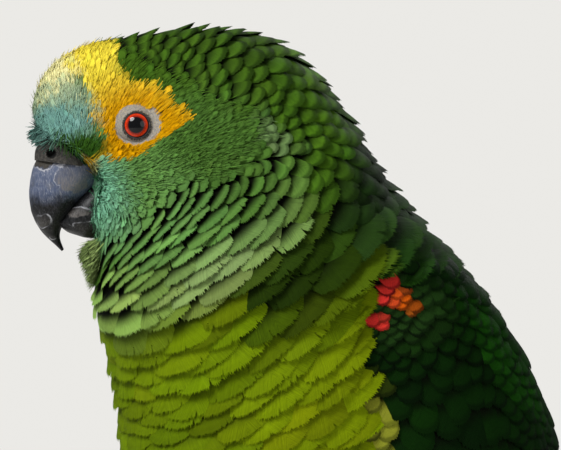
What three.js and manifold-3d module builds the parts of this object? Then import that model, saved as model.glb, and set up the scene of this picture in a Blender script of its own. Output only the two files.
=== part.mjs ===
// A life-size turquoise-fronted amazon parrot, perched upright with its neck feathers ruffled, on a display stand.
//
// Row frame, in millimetres: +Z up, origin at the centre of the stand's underside, the bill points to -X.
// The bird is laid out in its own profile plane: u runs back from the neck's turning axis, z is the height above
// the floor and v is the distance to the bird's right. The head looks straight along -X. The body is turned by
// BODY_TURN about the vertical neck axis, so that the breast faces half towards -Y.
import * as THREE from "three";
import { mergeVertices } from "three/addons/utils/BufferGeometryUtils.js";
import Module from "manifold-3d";

const wasm = await Module();
wasm.setup();

// Driving dimensions
const GAP = 0.3; // clearance between touching pieces
const BODY_TURN = THREE.MathUtils.degToRad(32);
const PERCH = { u: 36.4, z: 130, radius: 13, halfLength: 68 };
const BASE = { u: 51.4, length: 184, width: 150, height: 12, bevel: 2.5 };
const ROD = { radius: 4, lateral: 40, socket: 6, sides: 14 };
const EYE = { u: -22.8, z: 318.3, lateral: 18.2, radius: 6 };
const FOOT_LATERAL = 17;
const LEFT = -1;
const RIGHT = 1;

// The body is a row of sections from the face to the vent. Each is an oval in a plane square to the profile plane:
// its chord runs from the back line to the belly line, and its half width is across the bird.
const BODY_SECTIONS = [
  // back u, z      belly u, z     half width
  [-51.0, 314.0, -36.5, 288.0, 9.0],
  [-54.6, 324.6, -37.1, 283.8, 11.0],
  [-50.1, 336.0, -37.0, 280.8, 13.4],
  [-39.9, 342.9, -36.3, 277.8, 16.0],
  [-25.5, 346.2, -35.7, 274.2, 19.6],
  [-9.0, 347.7, -35.4, 270.6, 24.6],
  [7.5, 347.1, -35.4, 266.4, 31.0],
  [22.1, 341.5, -34.9, 262.2, 38.5],
  [34.0, 328.5, -32.4, 256.8, 45.0],
  [46.5, 308.5, -28.5, 250.4, 50.0],
  [61.0, 293.0, -25.2, 241.5, 53.0],
  [78.0, 278.0, -23.8, 231.0, 54.5],
  [91.5, 261.5, -23.8, 220.5, 54.5],
  [100.5, 245.0, -23.2, 208.0, 54.0],
  [107.0, 229.0, -19.8, 195.0, 53.0],
  [111.5, 212.0, -13.0, 183.0, 50.5],
  [114.5, 195.0, -2.4, 173.6, 46.0],
  [116.5, 177.0, 15.6, 166.0, 40.0],
  [117.0, 158.0, 38.4, 160.5, 32.5],
  [116.5, 137.0, 62.1, 150.4, 23.5],
  [115.0, 115.0, 82.0, 130.0, 15.0],
  [112.5, 95.0, 95.0, 106.0, 9.0],
];
const HEAD_END = 6.5; // section numbers where the body is parted
const NECK_END = 10.5;
const TURN_FROM = 3.5; // the turn from the head's direction to the body's
const TURN_TO = 11;
const HEAD_STEPS = 2; // rings to a section
const BODY_STEPS = 1;
const BODY_SIDES = 24;
const SIMPLIFY = 0.06; // how far the faceting of a finished piece may be eased

// The surface that carries the folded wing, from the mantle to the wing tip, laid out as the body is.
const WING_CARRIER = [
  [46.5, 305.0, -10.0, 268.0, 46.0],
  [60.0, 291.5, -7.0, 258.0, 51.0],
  [77.0, 277.0, -4.0, 246.0, 54.0],
  [91.0, 261.5, -2.0, 232.0, 55.5],
  [101.0, 244.0, 0.0, 216.0, 56.0],
  [108.0, 224.0, 3.0, 200.0, 55.0],
  [113.0, 201.0, 8.0, 185.0, 52.0],
  [116.0, 176.0, 16.0, 170.0, 47.0],
  [117.5, 153.0, 27.0, 152.0, 41.0],
  [117.5, 131.0, 41.0, 134.0, 35.0],
  [116.5, 110.0, 55.0, 116.0, 29.5],
  [115.5, 92.0, 68.0, 98.0, 25.0],
  [114.5, 74.0, 80.0, 80.0, 20.0],
  [113.5, 58.0, 90.0, 62.0, 15.0],
];
const CARRIER_SIDES = 24;
// Each layer stands this far out of the carrier and starts this far from the middle of the back.
const WING_LAYERS = {
  coverts: { rise: 4.6, middle: 17 },
  secondaries: { rise: 2.9, middle: 6.5 },
  primaries: { rise: 1.3, middle: 3.5 },
};
const WING_DEPTH = 1.6; // how far a layer reaches below the carrier where no body backs it

// Plain helpers

const lerp = THREE.MathUtils.lerp;
const smoothstep = (x, from, to) => THREE.MathUtils.smoothstep(x, from, to);

// A point of the body turned by a share of BODY_TURN about the neck axis.
function turned(u, v, z, share = 1) {
  const angle = BODY_TURN * share;
  return new THREE.Vector3(
    u * Math.cos(angle) - v * Math.sin(angle),
    u * Math.sin(angle) + v * Math.cos(angle),
    z,
  );
}

// A smooth row of numbers through evenly numbered rows of a table.
function smoothTable(rows) {
  const columns = rows[0].map((_, column) => rows.map((row) => row[column]));
  return (at) => {
    const clamped = THREE.MathUtils.clamp(at, 0, rows.length - 1);
    const first = Math.min(Math.floor(clamped), rows.length - 2);
    const x = clamped - first;
    return columns.map((values) => {
      const p0 = values[Math.max(first - 1, 0)];
      const p1 = values[first];
      const p2 = values[first + 1];
      const p3 = values[Math.min(first + 2, values.length - 1)];
      const slope1 = (p2 - p0) / 2;
      const slope2 = (p3 - p1) / 2;
      return (
        (2 * x ** 3 - 3 * x ** 2 + 1) * p1 +
        (x ** 3 - 2 * x ** 2 + x) * slope1 +
        (3 * x ** 2 - 2 * x ** 3) * p2 +
        (x ** 3 - x ** 2) * slope2
      );
    });
  };
}

// A closed geometry through rings of equally many points, with a fan over each end.
function loft(rings) {
  const sides = rings[0].length;
  const middle = (ring) =>
    ring.reduce((sum, p) => sum.add(p), new THREE.Vector3()).divideScalar(sides);
  const points = [...rings.flat(), middle(rings[0]), middle(rings.at(-1))];
  const firstMiddle = points.length - 2;
  const lastMiddle = points.length - 1;
  const faces = [];
  for (let j = 0; j < sides; j++) {
    const next = (j + 1) % sides;
    for (let i = 0; i + 1 < rings.length; i++) {
      const a = i * sides;
      const b = a + sides;
      faces.push(a + j, a + next, b + next, a + j, b + next, b + j);
    }
    const last = (rings.length - 1) * sides;
    faces.push(firstMiddle, next, j, lastMiddle, last + j, last + next);
  }
  const geometry = new THREE.BufferGeometry().setFromPoints(points);
  geometry.setIndex(faces);
  return geometry;
}

// A closed geometry as a solid, turned to face out.
function solidOf(geometry) {
  const bare = geometry.clone();
  bare.deleteAttribute("normal");
  bare.deleteAttribute("uv");
  const merged = mergeVertices(bare, 1e-4);
  const vertProperties = new Float32Array(merged.attributes.position.array);
  const triVerts = new Uint32Array(merged.index.array);
  const make = () => new wasm.Manifold(new wasm.Mesh({ numProp: 3, vertProperties, triVerts }));
  const made = make();
  if (made.volume() > 0) return made;
  for (let i = 0; i < triVerts.length; i += 3) {
    [triVerts[i + 1], triVerts[i + 2]] = [triVerts[i + 2], triVerts[i + 1]];
  }
  return make();
}

const loftSolid = (rings) => solidOf(loft(rings));
const without = (solid, ...cutters) => cutters.reduce((rest, cutter) => rest.subtract(cutter), solid);

// The largest single body of a solid, so that slivers cut loose are dropped, with its faceting eased.
function mainBody(solid) {
  return solid.decompose().sort((a, b) => b.volume() - a.volume())[0].simplify(SIMPLIFY);
}

function geometryOf(solid) {
  const mesh = solid.getMesh();
  const geometry = new THREE.BufferGeometry();
  geometry.setAttribute("position", new THREE.BufferAttribute(new Float32Array(mesh.vertProperties), 3));
  geometry.setIndex(new THREE.BufferAttribute(new Uint32Array(mesh.triVerts), 1));
  return geometry;
}

const amazon = new THREE.Group();

function addNode(name, solid, material) {
  const mesh = new THREE.Mesh(geometryOf(mainBody(solid)), material);
  mesh.name = name;
  amazon.add(mesh);
}

const sideName = (side) => (side === LEFT ? "left" : "right");

// Materials

const plumage = (colour) => new THREE.MeshStandardMaterial({ color: colour, roughness: 0.8, metalness: 0 });
const faceFeathers = plumage(0x8a9a1c);
const neckFeathers = plumage(0x4a7a1e);
const trunkFeathers = plumage(0x6f8210);
const wingFeathers = plumage(0x16401a);
const flightFeathers = plumage(0x0f2c1c);
const tailFeathers = plumage(0x3f7a1e);
const thighFeathers = plumage(0x93a01c);
const horn = new THREE.MeshStandardMaterial({ color: 0x24252c, roughness: 0.45, metalness: 0 });
const cereSkin = new THREE.MeshStandardMaterial({ color: 0x4b4a4c, roughness: 0.7, metalness: 0 });
const eyeball = new THREE.MeshStandardMaterial({ color: 0x8c1d08, roughness: 0.05, metalness: 0 });
const footSkin = new THREE.MeshStandardMaterial({ color: 0x6c6a68, roughness: 0.65, metalness: 0 });
const branchWood = new THREE.MeshStandardMaterial({ color: 0x7a5f42, roughness: 0.85, metalness: 0 });
const baseWood = new THREE.MeshStandardMaterial({ color: 0x3a2a1e, roughness: 0.5, metalness: 0 });
const steel = new THREE.MeshStandardMaterial({ color: 0xb4b6b8, roughness: 0.35, metalness: 1 });

// Head, neck and trunk

const bodySection = smoothTable(BODY_SECTIONS);

// One oval ring: squareness above 1 fills its corners out, and lean above 0 makes it wider towards the belly.
function ovalRing([backU, backZ, bellyU, bellyZ, halfWidth], { grow = 0, share = 1, lean = 0, squareness = 1, sides }) {
  const middle = new THREE.Vector2((backU + bellyU) / 2, (backZ + bellyZ) / 2);
  const chord = new THREE.Vector2(backU - bellyU, backZ - bellyZ);
  const halfChord = chord.length() / 2 + grow;
  chord.normalize();
  const rounded = (x) => Math.sign(x) * Math.abs(x) ** (1 / squareness);
  return Array.from({ length: sides }, (_, j) => {
    const angle = (2 * Math.PI * j) / sides;
    const along = halfChord * rounded(Math.cos(angle));
    const across = (halfWidth + grow) * rounded(Math.sin(angle)) * (1 - lean * Math.cos(angle));
    return turned(middle.x + chord.x * along, across, middle.y + chord.y * along, share);
  });
}

function bodyRing(at, grow = 0) {
  const lean = lerp(0.2, 0, smoothstep(at, 3, 10));
  const share = smoothstep(at, TURN_FROM, TURN_TO);
  return ovalRing(bodySection(at), { grow, share, lean, squareness: 1.06, sides: BODY_SIDES });
}

function bodySolid(from, to, grow = 0) {
  const steps = Math.max(1, Math.round((to - from) * (from < HEAD_END ? HEAD_STEPS : BODY_STEPS)));
  return loftSolid(Array.from({ length: steps + 1 }, (_, i) => bodyRing(lerp(from, to, i / steps), grow)));
}

// Bill and cere, in the head's own direction

// A ring in a plane square to the profile plane, from an outer point to an inner point.
function headRing([outerU, outerZ, innerU, innerZ, halfWidth], grow, sides, squareness = 1) {
  return ovalRing([outerU, outerZ, innerU, innerZ, halfWidth], { grow, share: 0, lean: 0, squareness, sides });
}

function headLoft(sections, { grow = 0, steps, sides, squareness }) {
  const section = smoothTable(sections);
  const last = sections.length - 1;
  const count = steps * last;
  return loftSolid(
    Array.from({ length: count + 1 }, (_, i) => headRing(section((last * i) / count), grow, sides, squareness)),
  );
}

// The hooked upper mandible, from its root in the face to the tip: culmen, palate and half width.
const UPPER_BILL = [
  [-45.5, 317.0, -30.5, 311.0, 8.6],
  [-53.0, 309.8, -33.4, 304.0, 9.8],
  [-55.3, 303.6, -37.0, 300.0, 9.8],
  [-55.7, 297.6, -40.6, 296.0, 9.1],
  [-54.7, 292.4, -43.2, 292.6, 7.7],
  [-52.6, 288.4, -45.6, 289.6, 5.6],
  [-49.6, 285.0, -46.6, 286.4, 3.2],
  [-45.9, 281.7, -45.4, 282.2, 0.5],
];
const LOWER_BILL = [
  [-33.0, 301.0, -30.0, 286.2, 7.6],
  [-36.9, 299.0, -36.9, 285.6, 7.8],
  [-40.6, 296.0, -40.6, 286.2, 7.4],
  [-44.0, 293.0, -44.0, 287.4, 6.0],
  [-46.8, 290.6, -46.6, 289.3, 4.2],
];
const CERE = [
  [-50.5, 316.6, -36.0, 315.6, 8.2],
  [-53.6, 312.6, -33.6, 311.2, 10.4],
  [-54.1, 308.9, -35.0, 306.4, 10.6],
];
const NOSTRIL = { u: -48.6, z: 310.8, radius: 1.35, depth: 4.5, lateral: 5.2 };

const upperBill = (grow) => headLoft(UPPER_BILL, { grow, steps: 1, sides: 16, squareness: 1.1 });
const lowerBill = (grow) => headLoft(LOWER_BILL, { grow, steps: 1, sides: 14, squareness: 1.1 });
const cere = (grow) => headLoft(CERE, { grow, steps: 1, sides: 16, squareness: 1.1 });

// The feathered face stops at a curved edge round the root of the bill: u, z and how much the edge draws back for
// each millimetre beyond the side of the bill.
const FACE_EDGE = [
  [-56, 315.5, 0.4],
  [-46, 313.5, 0.4],
  [-39, 308.5, 0.35],
  [-35.5, 302, 0.3],
  [-37, 296, 0.3],
  [-37.5, 291, 0.25],
  [-35.5, 286, 0.2],
  [-39, 280, 0.1],
];
const FACE_CUT = { front: -70, side: 9, reach: 34 };

function faceCut() {
  const laterals = [-FACE_CUT.reach, -FACE_CUT.side, FACE_CUT.side, FACE_CUT.reach];
  return loftSolid(
    laterals.map((lateral) => {
      const beyond = Math.abs(lateral) - FACE_CUT.side;
      return [
        ...FACE_EDGE.map(([u, z, slope]) => new THREE.Vector3(u + beyond * slope, lateral, z)),
        new THREE.Vector3(FACE_CUT.front, lateral, 280),
        new THREE.Vector3(FACE_CUT.front, lateral, 315.5),
      ];
    }),
  );
}

function nostril(side) {
  const shape = new THREE.ConeGeometry(NOSTRIL.radius * 1.5, NOSTRIL.depth * 2, 8);
  shape.rotateX(side === LEFT ? -Math.PI / 2 : Math.PI / 2);
  shape.rotateX(Math.PI);
  shape.translate(NOSTRIL.u, side * (NOSTRIL.lateral + NOSTRIL.depth), NOSTRIL.z);
  return solidOf(shape);
}

function eye(side, grow = 0) {
  const shape = new THREE.SphereGeometry(EYE.radius + grow, 12, 9);
  shape.translate(EYE.u, side * EYE.lateral, EYE.z);
  return solidOf(shape);
}

// Legs: feathered thighs, bare shanks, two toes in front of the perch and two behind

// A round tube through points, its radius given along its length.
function limb(points, radii, sides, grow = 0) {
  const path = new THREE.CatmullRomCurve3(points);
  const steps = points.length - 1;
  const across = new THREE.Vector3(0, 1, 0);
  return loftSolid(
    Array.from({ length: steps + 1 }, (_, i) => {
      const share = i / steps;
      const tangent = path.getTangentAt(share);
      const up = new THREE.Vector3().crossVectors(tangent, across).normalize();
      const side = new THREE.Vector3().crossVectors(up, tangent).normalize();
      const at = share * (radii.length - 1);
      const first = Math.min(Math.floor(at), radii.length - 2);
      const radius = lerp(radii[first], radii[first + 1], at - first) + grow;
      return Array.from({ length: sides }, (_, j) => {
        const angle = (2 * Math.PI * j) / sides;
        return path
          .getPointAt(share)
          .addScaledVector(up, radius * Math.cos(angle))
          .addScaledVector(side, radius * Math.sin(angle));
      });
    }),
  );
}

const legPoint = (side, u, lateral, z) => new THREE.Vector3(u, side * lateral, z);

function thigh(side) {
  const points = [
    legPoint(side, 44, FOOT_LATERAL - 1, 182),
    legPoint(side, 44, FOOT_LATERAL, 168),
    legPoint(side, 43, FOOT_LATERAL, 157),
    legPoint(side, 41, FOOT_LATERAL, 152.5),
  ];
  return limb(points, [12, 11.5, 8.5, 5], 12);
}

function shank(side, grow = 0) {
  const points = [
    legPoint(side, 47, FOOT_LATERAL, 166),
    legPoint(side, 43, FOOT_LATERAL, 156),
    legPoint(side, 38, FOOT_LATERAL, 149),
    legPoint(side, PERCH.u, FOOT_LATERAL, 147.2),
  ];
  const shaft = limb(points, [3.6, 3.4, 3.8, 3.2], 8, grow);
  const pad = new THREE.SphereGeometry(4.6 + grow, 10, 6);
  pad.scale(1.25, 1, 0.62);
  pad.translate(PERCH.u, side * FOOT_LATERAL, PERCH.z + PERCH.radius + GAP + 3.2);
  return shaft.add(solidOf(pad));
}

// Each toe: the way it points from the perch's top (-1 front, 1 back), its sideways place at root and tip measured
// away from the body's middle, how far round the perch it reaches, its radius at root and tip, and its joints.
const TOES = {
  inner_front: { way: -1, root: -3.7, tip: -7.2, sweep: 74, radii: [3.0, 2.3], joints: 3 },
  outer_front: { way: -1, root: 3.7, tip: 6.2, sweep: 98, radii: [3.2, 2.4], joints: 4 },
  inner_back: { way: 1, root: -3.6, tip: -6.4, sweep: 58, radii: [2.9, 2.3], joints: 2 },
  outer_back: { way: 1, root: 3.7, tip: 7.6, sweep: 92, radii: [3.1, 2.3], joints: 4 },
};
const TOE_START = 13; // degrees from the top of the perch
const CLAW = { length: 8.6, curl: 62 };

// A point round the perch, at an angle from its top and a distance from its axis.
function roundPerch(side, way, degrees, distance, lateral) {
  const angle = THREE.MathUtils.degToRad(degrees);
  return legPoint(
    side,
    PERCH.u + way * distance * Math.sin(angle),
    FOOT_LATERAL + lateral,
    PERCH.z + distance * Math.cos(angle),
  );
}

function toe(side, { way, root, tip, sweep, radii, joints }) {
  const count = joints * 2;
  const bulge = (i) => (i % 2 === 0 ? 1.06 : 0.94);
  const radiusAt = (i) => lerp(radii[0], radii[1], i / count) * bulge(i);
  const points = Array.from({ length: count + 1 }, (_, i) => {
    const distance = PERCH.radius + GAP + lerp(radii[0], radii[1], i / count) * 1.06 + 0.15;
    return roundPerch(side, way, TOE_START + (sweep - TOE_START) * (i / count), distance, lerp(root, tip, i / count));
  });
  return limb(
    points,
    points.map((_, i) => radiusAt(i)),
    6,
  );
}

function claw(side, { way, tip, sweep, radii }) {
  const steps = 3;
  const root = radii[1] * 0.86;
  const startDistance = PERCH.radius + GAP + radii[1] * 1.06 + 0.15;
  const points = [];
  const place = roundPerch(side, way, sweep + 1.6, startDistance, tip);
  let heading = THREE.MathUtils.degToRad(sweep);
  for (let i = 0; i <= steps; i++) {
    points.push(place.clone());
    place.x += way * (CLAW.length / steps) * Math.cos(heading);
    place.z -= (CLAW.length / steps) * Math.sin(heading);
    heading += THREE.MathUtils.degToRad(CLAW.curl / steps);
  }
  return limb(
    points,
    points.map((_, i) => lerp(root, 0.3, (i / steps) ** 0.8)),
    5,
  );
}

const inBody = (solid) => solid.rotate([0, 0, THREE.MathUtils.radToDeg(BODY_TURN)]);

// Tail: closed to a narrow, slightly roofed blade with a rounded end

const TAIL = {
  rootU: 99,
  rootZ: 140,
  tipU: 112.5,
  tipZ: 36,
  halfWidths: [10, 14, 17.5, 20, 21, 21, 19.5, 15],
  halfDepths: [5, 4.6, 4, 3.4, 2.8, 2.2, 1.7, 1.1],
  roof: 3.2, // how far the edges stand in front of the middle
};

function tail(grow = 0) {
  const last = TAIL.halfWidths.length - 1;
  const sides = 16;
  const rings = TAIL.halfWidths.map((halfWidth, i) => {
    const share = i / last;
    const u = lerp(TAIL.rootU, TAIL.tipU, share);
    const z = lerp(TAIL.rootZ, TAIL.tipZ, Math.min(1, share * 1.02));
    return Array.from({ length: sides }, (_, j) => {
      const angle = (2 * Math.PI * j) / sides;
      const across = Math.cos(angle);
      const roof = TAIL.roof * (1 - across * across);
      const deep = (TAIL.halfDepths[i] + grow) * Math.sin(angle);
      return turned(u + roof + deep, (halfWidth + grow) * across, z - (i === last ? grow : 0));
    });
  });
  return loftSolid(rings);
}

// Folded wings: each layer is an outline in side view, carried by a shell round the body

function carrier(grow) {
  return loftSolid(WING_CARRIER.map((section) => ovalRing(section, { grow, squareness: 1.06, sides: CARRIER_SIDES })));
}

// The outlines are in u and z. The bend of the wing is at its upper front end.
function outline(points) {
  return new THREE.SplineCurve(points.map(([u, z]) => new THREE.Vector2(u, z))).getPoints(Math.round(points.length * 1.3));
}

const WING_FRONT = [
  [30, 283],
  [22.5, 274],
  [19, 260],
  [20, 240],
  [26, 218],
  [36, 195],
  [49, 172],
];
const COVERT_EDGE = [
  [49, 172],
  [64, 172],
  [79, 178],
  [92, 188],
  [104, 198],
  [118, 206],
];
const SHOULDER_TOP = [
  [118, 206],
  [108, 232],
  [92, 255],
  [74, 272],
  [55, 283],
  [42, 287],
  [30, 283],
];
const SECONDARY_FRONT = [
  [49, 172],
  [58, 155],
  [69, 138],
  [81, 124],
];
const SECONDARY_END = [
  [81, 124],
  [93, 120],
  [105, 121],
  [122, 127],
];
const WING_BACK = [
  [118, 206],
  [124, 170],
  [122, 127],
];
const PRIMARY_FRONT = [
  [81, 124],
  [91, 104],
  [100, 86],
  [107.5, 72],
];
const PRIMARY_BACK = [
  [107.5, 72],
  [114, 70],
  [120, 84],
  [122, 127],
];

const reversed = (points) => [...points].reverse();

const WING_OUTLINES = {
  coverts: [WING_FRONT, COVERT_EDGE, SHOULDER_TOP],
  secondaries: [SECONDARY_FRONT, SECONDARY_END, reversed(WING_BACK), reversed(COVERT_EDGE)],
  primaries: [PRIMARY_FRONT, PRIMARY_BACK, reversed(SECONDARY_END)],
};

// The outline as a slab beside the body: its inner face is clear of the back's middle.
function outlineSlab(curves, side, from) {
  const points = curves.flatMap((curve) => outline(curve).slice(0, -1));
  const slab = new THREE.ExtrudeGeometry(new THREE.Shape(points), { depth: 90, bevelEnabled: false });
  slab.rotateX(Math.PI / 2); // the outline's second axis becomes z, and its depth runs to -v
  slab.translate(0, -from, 0);
  if (side === RIGHT) slab.scale(1, -1, 1);
  return inBody(solidOf(slab));
}

function wingLayer(side, layer, spaces) {
  const { rise, middle } = WING_LAYERS[layer];
  const shell = carrier(rise).subtract(carrier(-WING_DEPTH));
  return without(outlineSlab(WING_OUTLINES[layer], side, middle).intersect(shell), ...spaces);
}

// Stand: oval base, two rods and a cut length of branch

function base() {
  const shape = new THREE.Shape();
  shape.absellipse(0, 0, BASE.length / 2 - BASE.bevel, BASE.width / 2 - BASE.bevel, 0, 2 * Math.PI);
  const plate = new THREE.ExtrudeGeometry(shape, {
    depth: BASE.height - 2 * BASE.bevel,
    bevelSize: BASE.bevel,
    bevelThickness: BASE.bevel,
    bevelSegments: 1,
    curveSegments: 12,
  });
  plate.translate(BASE.u, 0, BASE.bevel);
  return solidOf(plate);
}

function rod(side, grow = 0) {
  const low = BASE.height - ROD.socket;
  const high = PERCH.z - PERCH.radius + ROD.socket;
  const shape = new THREE.CylinderGeometry(ROD.radius + grow, ROD.radius + grow, high - low + 2 * grow, ROD.sides);
  shape.rotateX(Math.PI / 2);
  shape.translate(PERCH.u, side * ROD.lateral, (low + high) / 2);
  return solidOf(shape);
}

// The branch is round where the feet hold it and a little uneven towards its ends.
function branch() {
  const rings = 7;
  const sides = 14;
  return loftSolid(
    Array.from({ length: rings }, (_, i) => {
      const v = lerp(-PERCH.halfLength, PERCH.halfLength, i / (rings - 1));
      const away = smoothstep(Math.abs(v), 30, PERCH.halfLength);
      return Array.from({ length: sides }, (_, j) => {
        const angle = (2 * Math.PI * j) / sides;
        const knot = 1 + away * (0.05 * Math.cos(2 * angle + v * 0.05) + 0.04 * Math.sin(3 * angle - v * 0.07));
        const radius = PERCH.radius * knot;
        return new THREE.Vector3(PERCH.u + radius * Math.cos(angle), v, PERCH.z + radius * Math.sin(angle));
      });
    }),
  );
}

// Assembly

const VENT = BODY_SECTIONS.length - 1;
const PART_SHARE = 0.035; // of the distance between two sections, left open at each parting
const billSpace = wasm.Manifold.hull([upperBill(GAP), lowerBill(GAP), cere(GAP)]);
const eyeSpaces = [eye(LEFT, GAP), eye(RIGHT, GAP)];
addNode("head", without(bodySolid(0, HEAD_END), faceCut(), billSpace, ...eyeSpaces), faceFeathers);
addNode("upper_bill", upperBill(0), horn);
addNode("lower_bill", without(lowerBill(0), upperBill(GAP)), horn);
addNode("cere", without(cere(0), upperBill(GAP), nostril(LEFT), nostril(RIGHT)), cereSkin);
for (const side of [LEFT, RIGHT]) addNode(`eye_${sideName(side)}`, eye(side), eyeball);

const neckSolid = (grow) => bodySolid(HEAD_END + PART_SHARE, NECK_END, grow);
const trunkSolid = (grow) => bodySolid(NECK_END + PART_SHARE, VENT, grow);
const bodySpace = neckSolid(GAP).add(bodySolid(NECK_END - 0.1, NECK_END + 0.1, GAP)).add(trunkSolid(GAP));
addNode("tail", without(tail(), bodySpace), tailFeathers);

const wingMaterials = { coverts: wingFeathers, secondaries: wingFeathers, primaries: flightFeathers };
for (const side of [LEFT, RIGHT]) {
  const spaces = [bodySpace, tail(GAP)];
  for (const layer of Object.keys(WING_LAYERS)) {
    const solid = wingLayer(side, layer, spaces);
    addNode(`wing_${sideName(side)}_${layer}`, solid, wingMaterials[layer]);
    spaces.push(solid.translate([0, 0, -GAP]), solid);
  }
}

addNode("neck", neckSolid(0), neckFeathers);
const shankSpaces = [LEFT, RIGHT].map((side) => inBody(shank(side, GAP)));
addNode("trunk", without(trunkSolid(0), ...shankSpaces), trunkFeathers);
for (const side of [LEFT, RIGHT]) {
  const name = sideName(side);
  const footSpace = shank(side, GAP);
  addNode(`thigh_${name}`, without(inBody(thigh(side)), bodySpace, inBody(footSpace)), thighFeathers);
  addNode(`shank_${name}`, inBody(shank(side)), footSkin);
  for (const [toeName, form] of Object.entries(TOES)) {
    addNode(`toe_${name}_${toeName}`, inBody(without(toe(side, form), footSpace)), footSkin);
    addNode(`claw_${name}_${toeName}`, inBody(claw(side, form)), horn);
  }
}

const rodSpaces = [rod(LEFT, GAP), rod(RIGHT, GAP)];
addNode("stand_base", inBody(without(base(), ...rodSpaces)), baseWood);
addNode("stand_perch", inBody(without(branch(), ...rodSpaces)), branchWood);
for (const side of [LEFT, RIGHT]) addNode(`stand_rod_${sideName(side)}`, inBody(rod(side)), steel);

// The origin moves from the neck axis to the middle of the base.
const baseMiddle = turned(BASE.u, 0, 0);
amazon.position.set(-baseMiddle.x, -baseMiddle.y, 0);

export default amazon;
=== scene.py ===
"""A life-size turquoise-fronted amazon parrot with ruffled neck feathers, perched on a display stand.

The bird is laid out in its own profile: u runs back from the neck's turning axis and z is the height above the
floor, both in millimetres. Angles round the body start at the back and are negative on the bird's left.
"""

import math

import bmesh
import bpy
import numpy as np
from bpy.props import FloatProperty, FloatVectorProperty, IntProperty, PointerProperty
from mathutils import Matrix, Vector
from mathutils.kdtree import KDTree


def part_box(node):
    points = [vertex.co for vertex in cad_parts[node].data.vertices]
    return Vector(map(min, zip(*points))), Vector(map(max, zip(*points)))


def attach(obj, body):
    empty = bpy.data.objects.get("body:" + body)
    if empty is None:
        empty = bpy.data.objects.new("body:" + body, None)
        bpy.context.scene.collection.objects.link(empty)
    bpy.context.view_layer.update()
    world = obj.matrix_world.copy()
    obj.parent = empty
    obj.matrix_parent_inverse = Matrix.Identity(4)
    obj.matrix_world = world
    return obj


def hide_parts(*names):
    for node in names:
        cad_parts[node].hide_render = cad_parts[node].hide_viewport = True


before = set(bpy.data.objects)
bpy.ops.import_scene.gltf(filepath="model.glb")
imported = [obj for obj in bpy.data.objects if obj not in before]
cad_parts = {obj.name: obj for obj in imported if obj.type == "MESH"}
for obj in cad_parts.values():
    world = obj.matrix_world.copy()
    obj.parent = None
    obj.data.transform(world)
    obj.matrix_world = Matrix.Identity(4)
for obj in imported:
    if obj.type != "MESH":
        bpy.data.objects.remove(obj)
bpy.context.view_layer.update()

bl_info = {
    "name": "Perched amazon parrot",
    "version": (1, 0, 0),
    "blender": (4, 5, 0),
    "location": "View3D > Sidebar > Parrot",
    "description": "Builds a perched, ruffled amazon parrot feather by feather on its display stand",
    "category": "Object",
}

MM = 0.001
SIDES = {"left": -1, "right": 1}


# Places taken from the frame


def box_middle(node):
    low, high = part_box(node)
    return np.array((low + high) / 2) / MM


EYE_U = -22.8
EYE_RISE = 0.6
EYE_MIDDLES = {side: box_middle(f"eye_{side}") + np.array((0, 0, EYE_RISE)) for side in SIDES}
EYE_Z = EYE_MIDDLES["left"][2]
NECK_AXIS = (EYE_MIDDLES["left"] + EYE_MIDDLES["right"])[:2] / 2 - (EYE_U, 0)
RIGHT_WAY = box_middle("stand_rod_right") - box_middle("stand_rod_left")
BODY_TURN = math.atan2(-RIGHT_WAY[0], RIGHT_WAY[1])


def to_world(u, v, z, share=1.0):
    """Profile places, v to the bird's right, as points in millimetres in the row frame."""
    angle = BODY_TURN * np.asarray(share)
    x = u * np.cos(angle) - v * np.sin(angle) + NECK_AXIS[0]
    y = u * np.sin(angle) + v * np.cos(angle) + NECK_AXIS[1]
    return np.stack(np.broadcast_arrays(x, y, z), -1)


# The forms that the plumage lies on: back u, z, belly u, z, half width and, off the middle, the side place

BODY_ROWS = (
    (-51.0, 314.0, -36.5, 288.0, 9.0),
    (-54.6, 324.6, -37.1, 283.8, 11.0),
    (-50.1, 336.0, -37.0, 280.8, 13.4),
    (-39.9, 342.9, -36.3, 277.8, 16.0),
    (-25.5, 346.2, -35.7, 274.2, 19.6),
    (-9.0, 347.7, -35.4, 270.6, 24.6),
    (7.5, 347.1, -35.4, 266.4, 31.0),
    (22.1, 341.5, -34.9, 262.2, 38.5),
    (34.0, 328.5, -32.4, 256.8, 45.0),
    (46.5, 308.5, -28.5, 250.4, 50.0),
    (61.0, 293.0, -25.2, 241.5, 53.0),
    (78.0, 278.0, -23.8, 231.0, 54.5),
    (91.5, 261.5, -23.8, 220.5, 54.5),
    (100.5, 245.0, -23.2, 208.0, 54.0),
    (107.0, 229.0, -19.8, 195.0, 53.0),
    (111.5, 212.0, -13.0, 183.0, 50.5),
    (114.5, 195.0, -2.4, 173.6, 46.0),
    (116.5, 177.0, 15.6, 166.0, 40.0),
    (117.0, 158.0, 38.4, 160.5, 32.5),
    (116.5, 137.0, 62.1, 150.4, 23.5),
    (115.0, 115.0, 82.0, 130.0, 15.0),
    (112.5, 95.0, 95.0, 106.0, 9.0),
)
WING_ROWS = (
    (46.5, 305.0, -10.0, 268.0, 46.0),
    (60.0, 291.5, -7.0, 258.0, 51.0),
    (77.0, 277.0, -4.0, 246.0, 54.0),
    (91.0, 261.5, -2.0, 232.0, 55.5),
    (101.0, 244.0, 0.0, 216.0, 56.0),
    (108.0, 224.0, 3.0, 200.0, 55.0),
    (113.0, 201.0, 8.0, 185.0, 52.0),
    (116.0, 176.0, 16.0, 170.0, 47.0),
    (117.5, 153.0, 27.0, 152.0, 41.0),
    (117.5, 131.0, 41.0, 134.0, 35.0),
    (116.5, 110.0, 55.0, 116.0, 29.5),
    (115.5, 92.0, 68.0, 98.0, 25.0),
    (114.5, 74.0, 80.0, 80.0, 20.0),
    (113.5, 58.0, 90.0, 62.0, 15.0),
)
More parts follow.
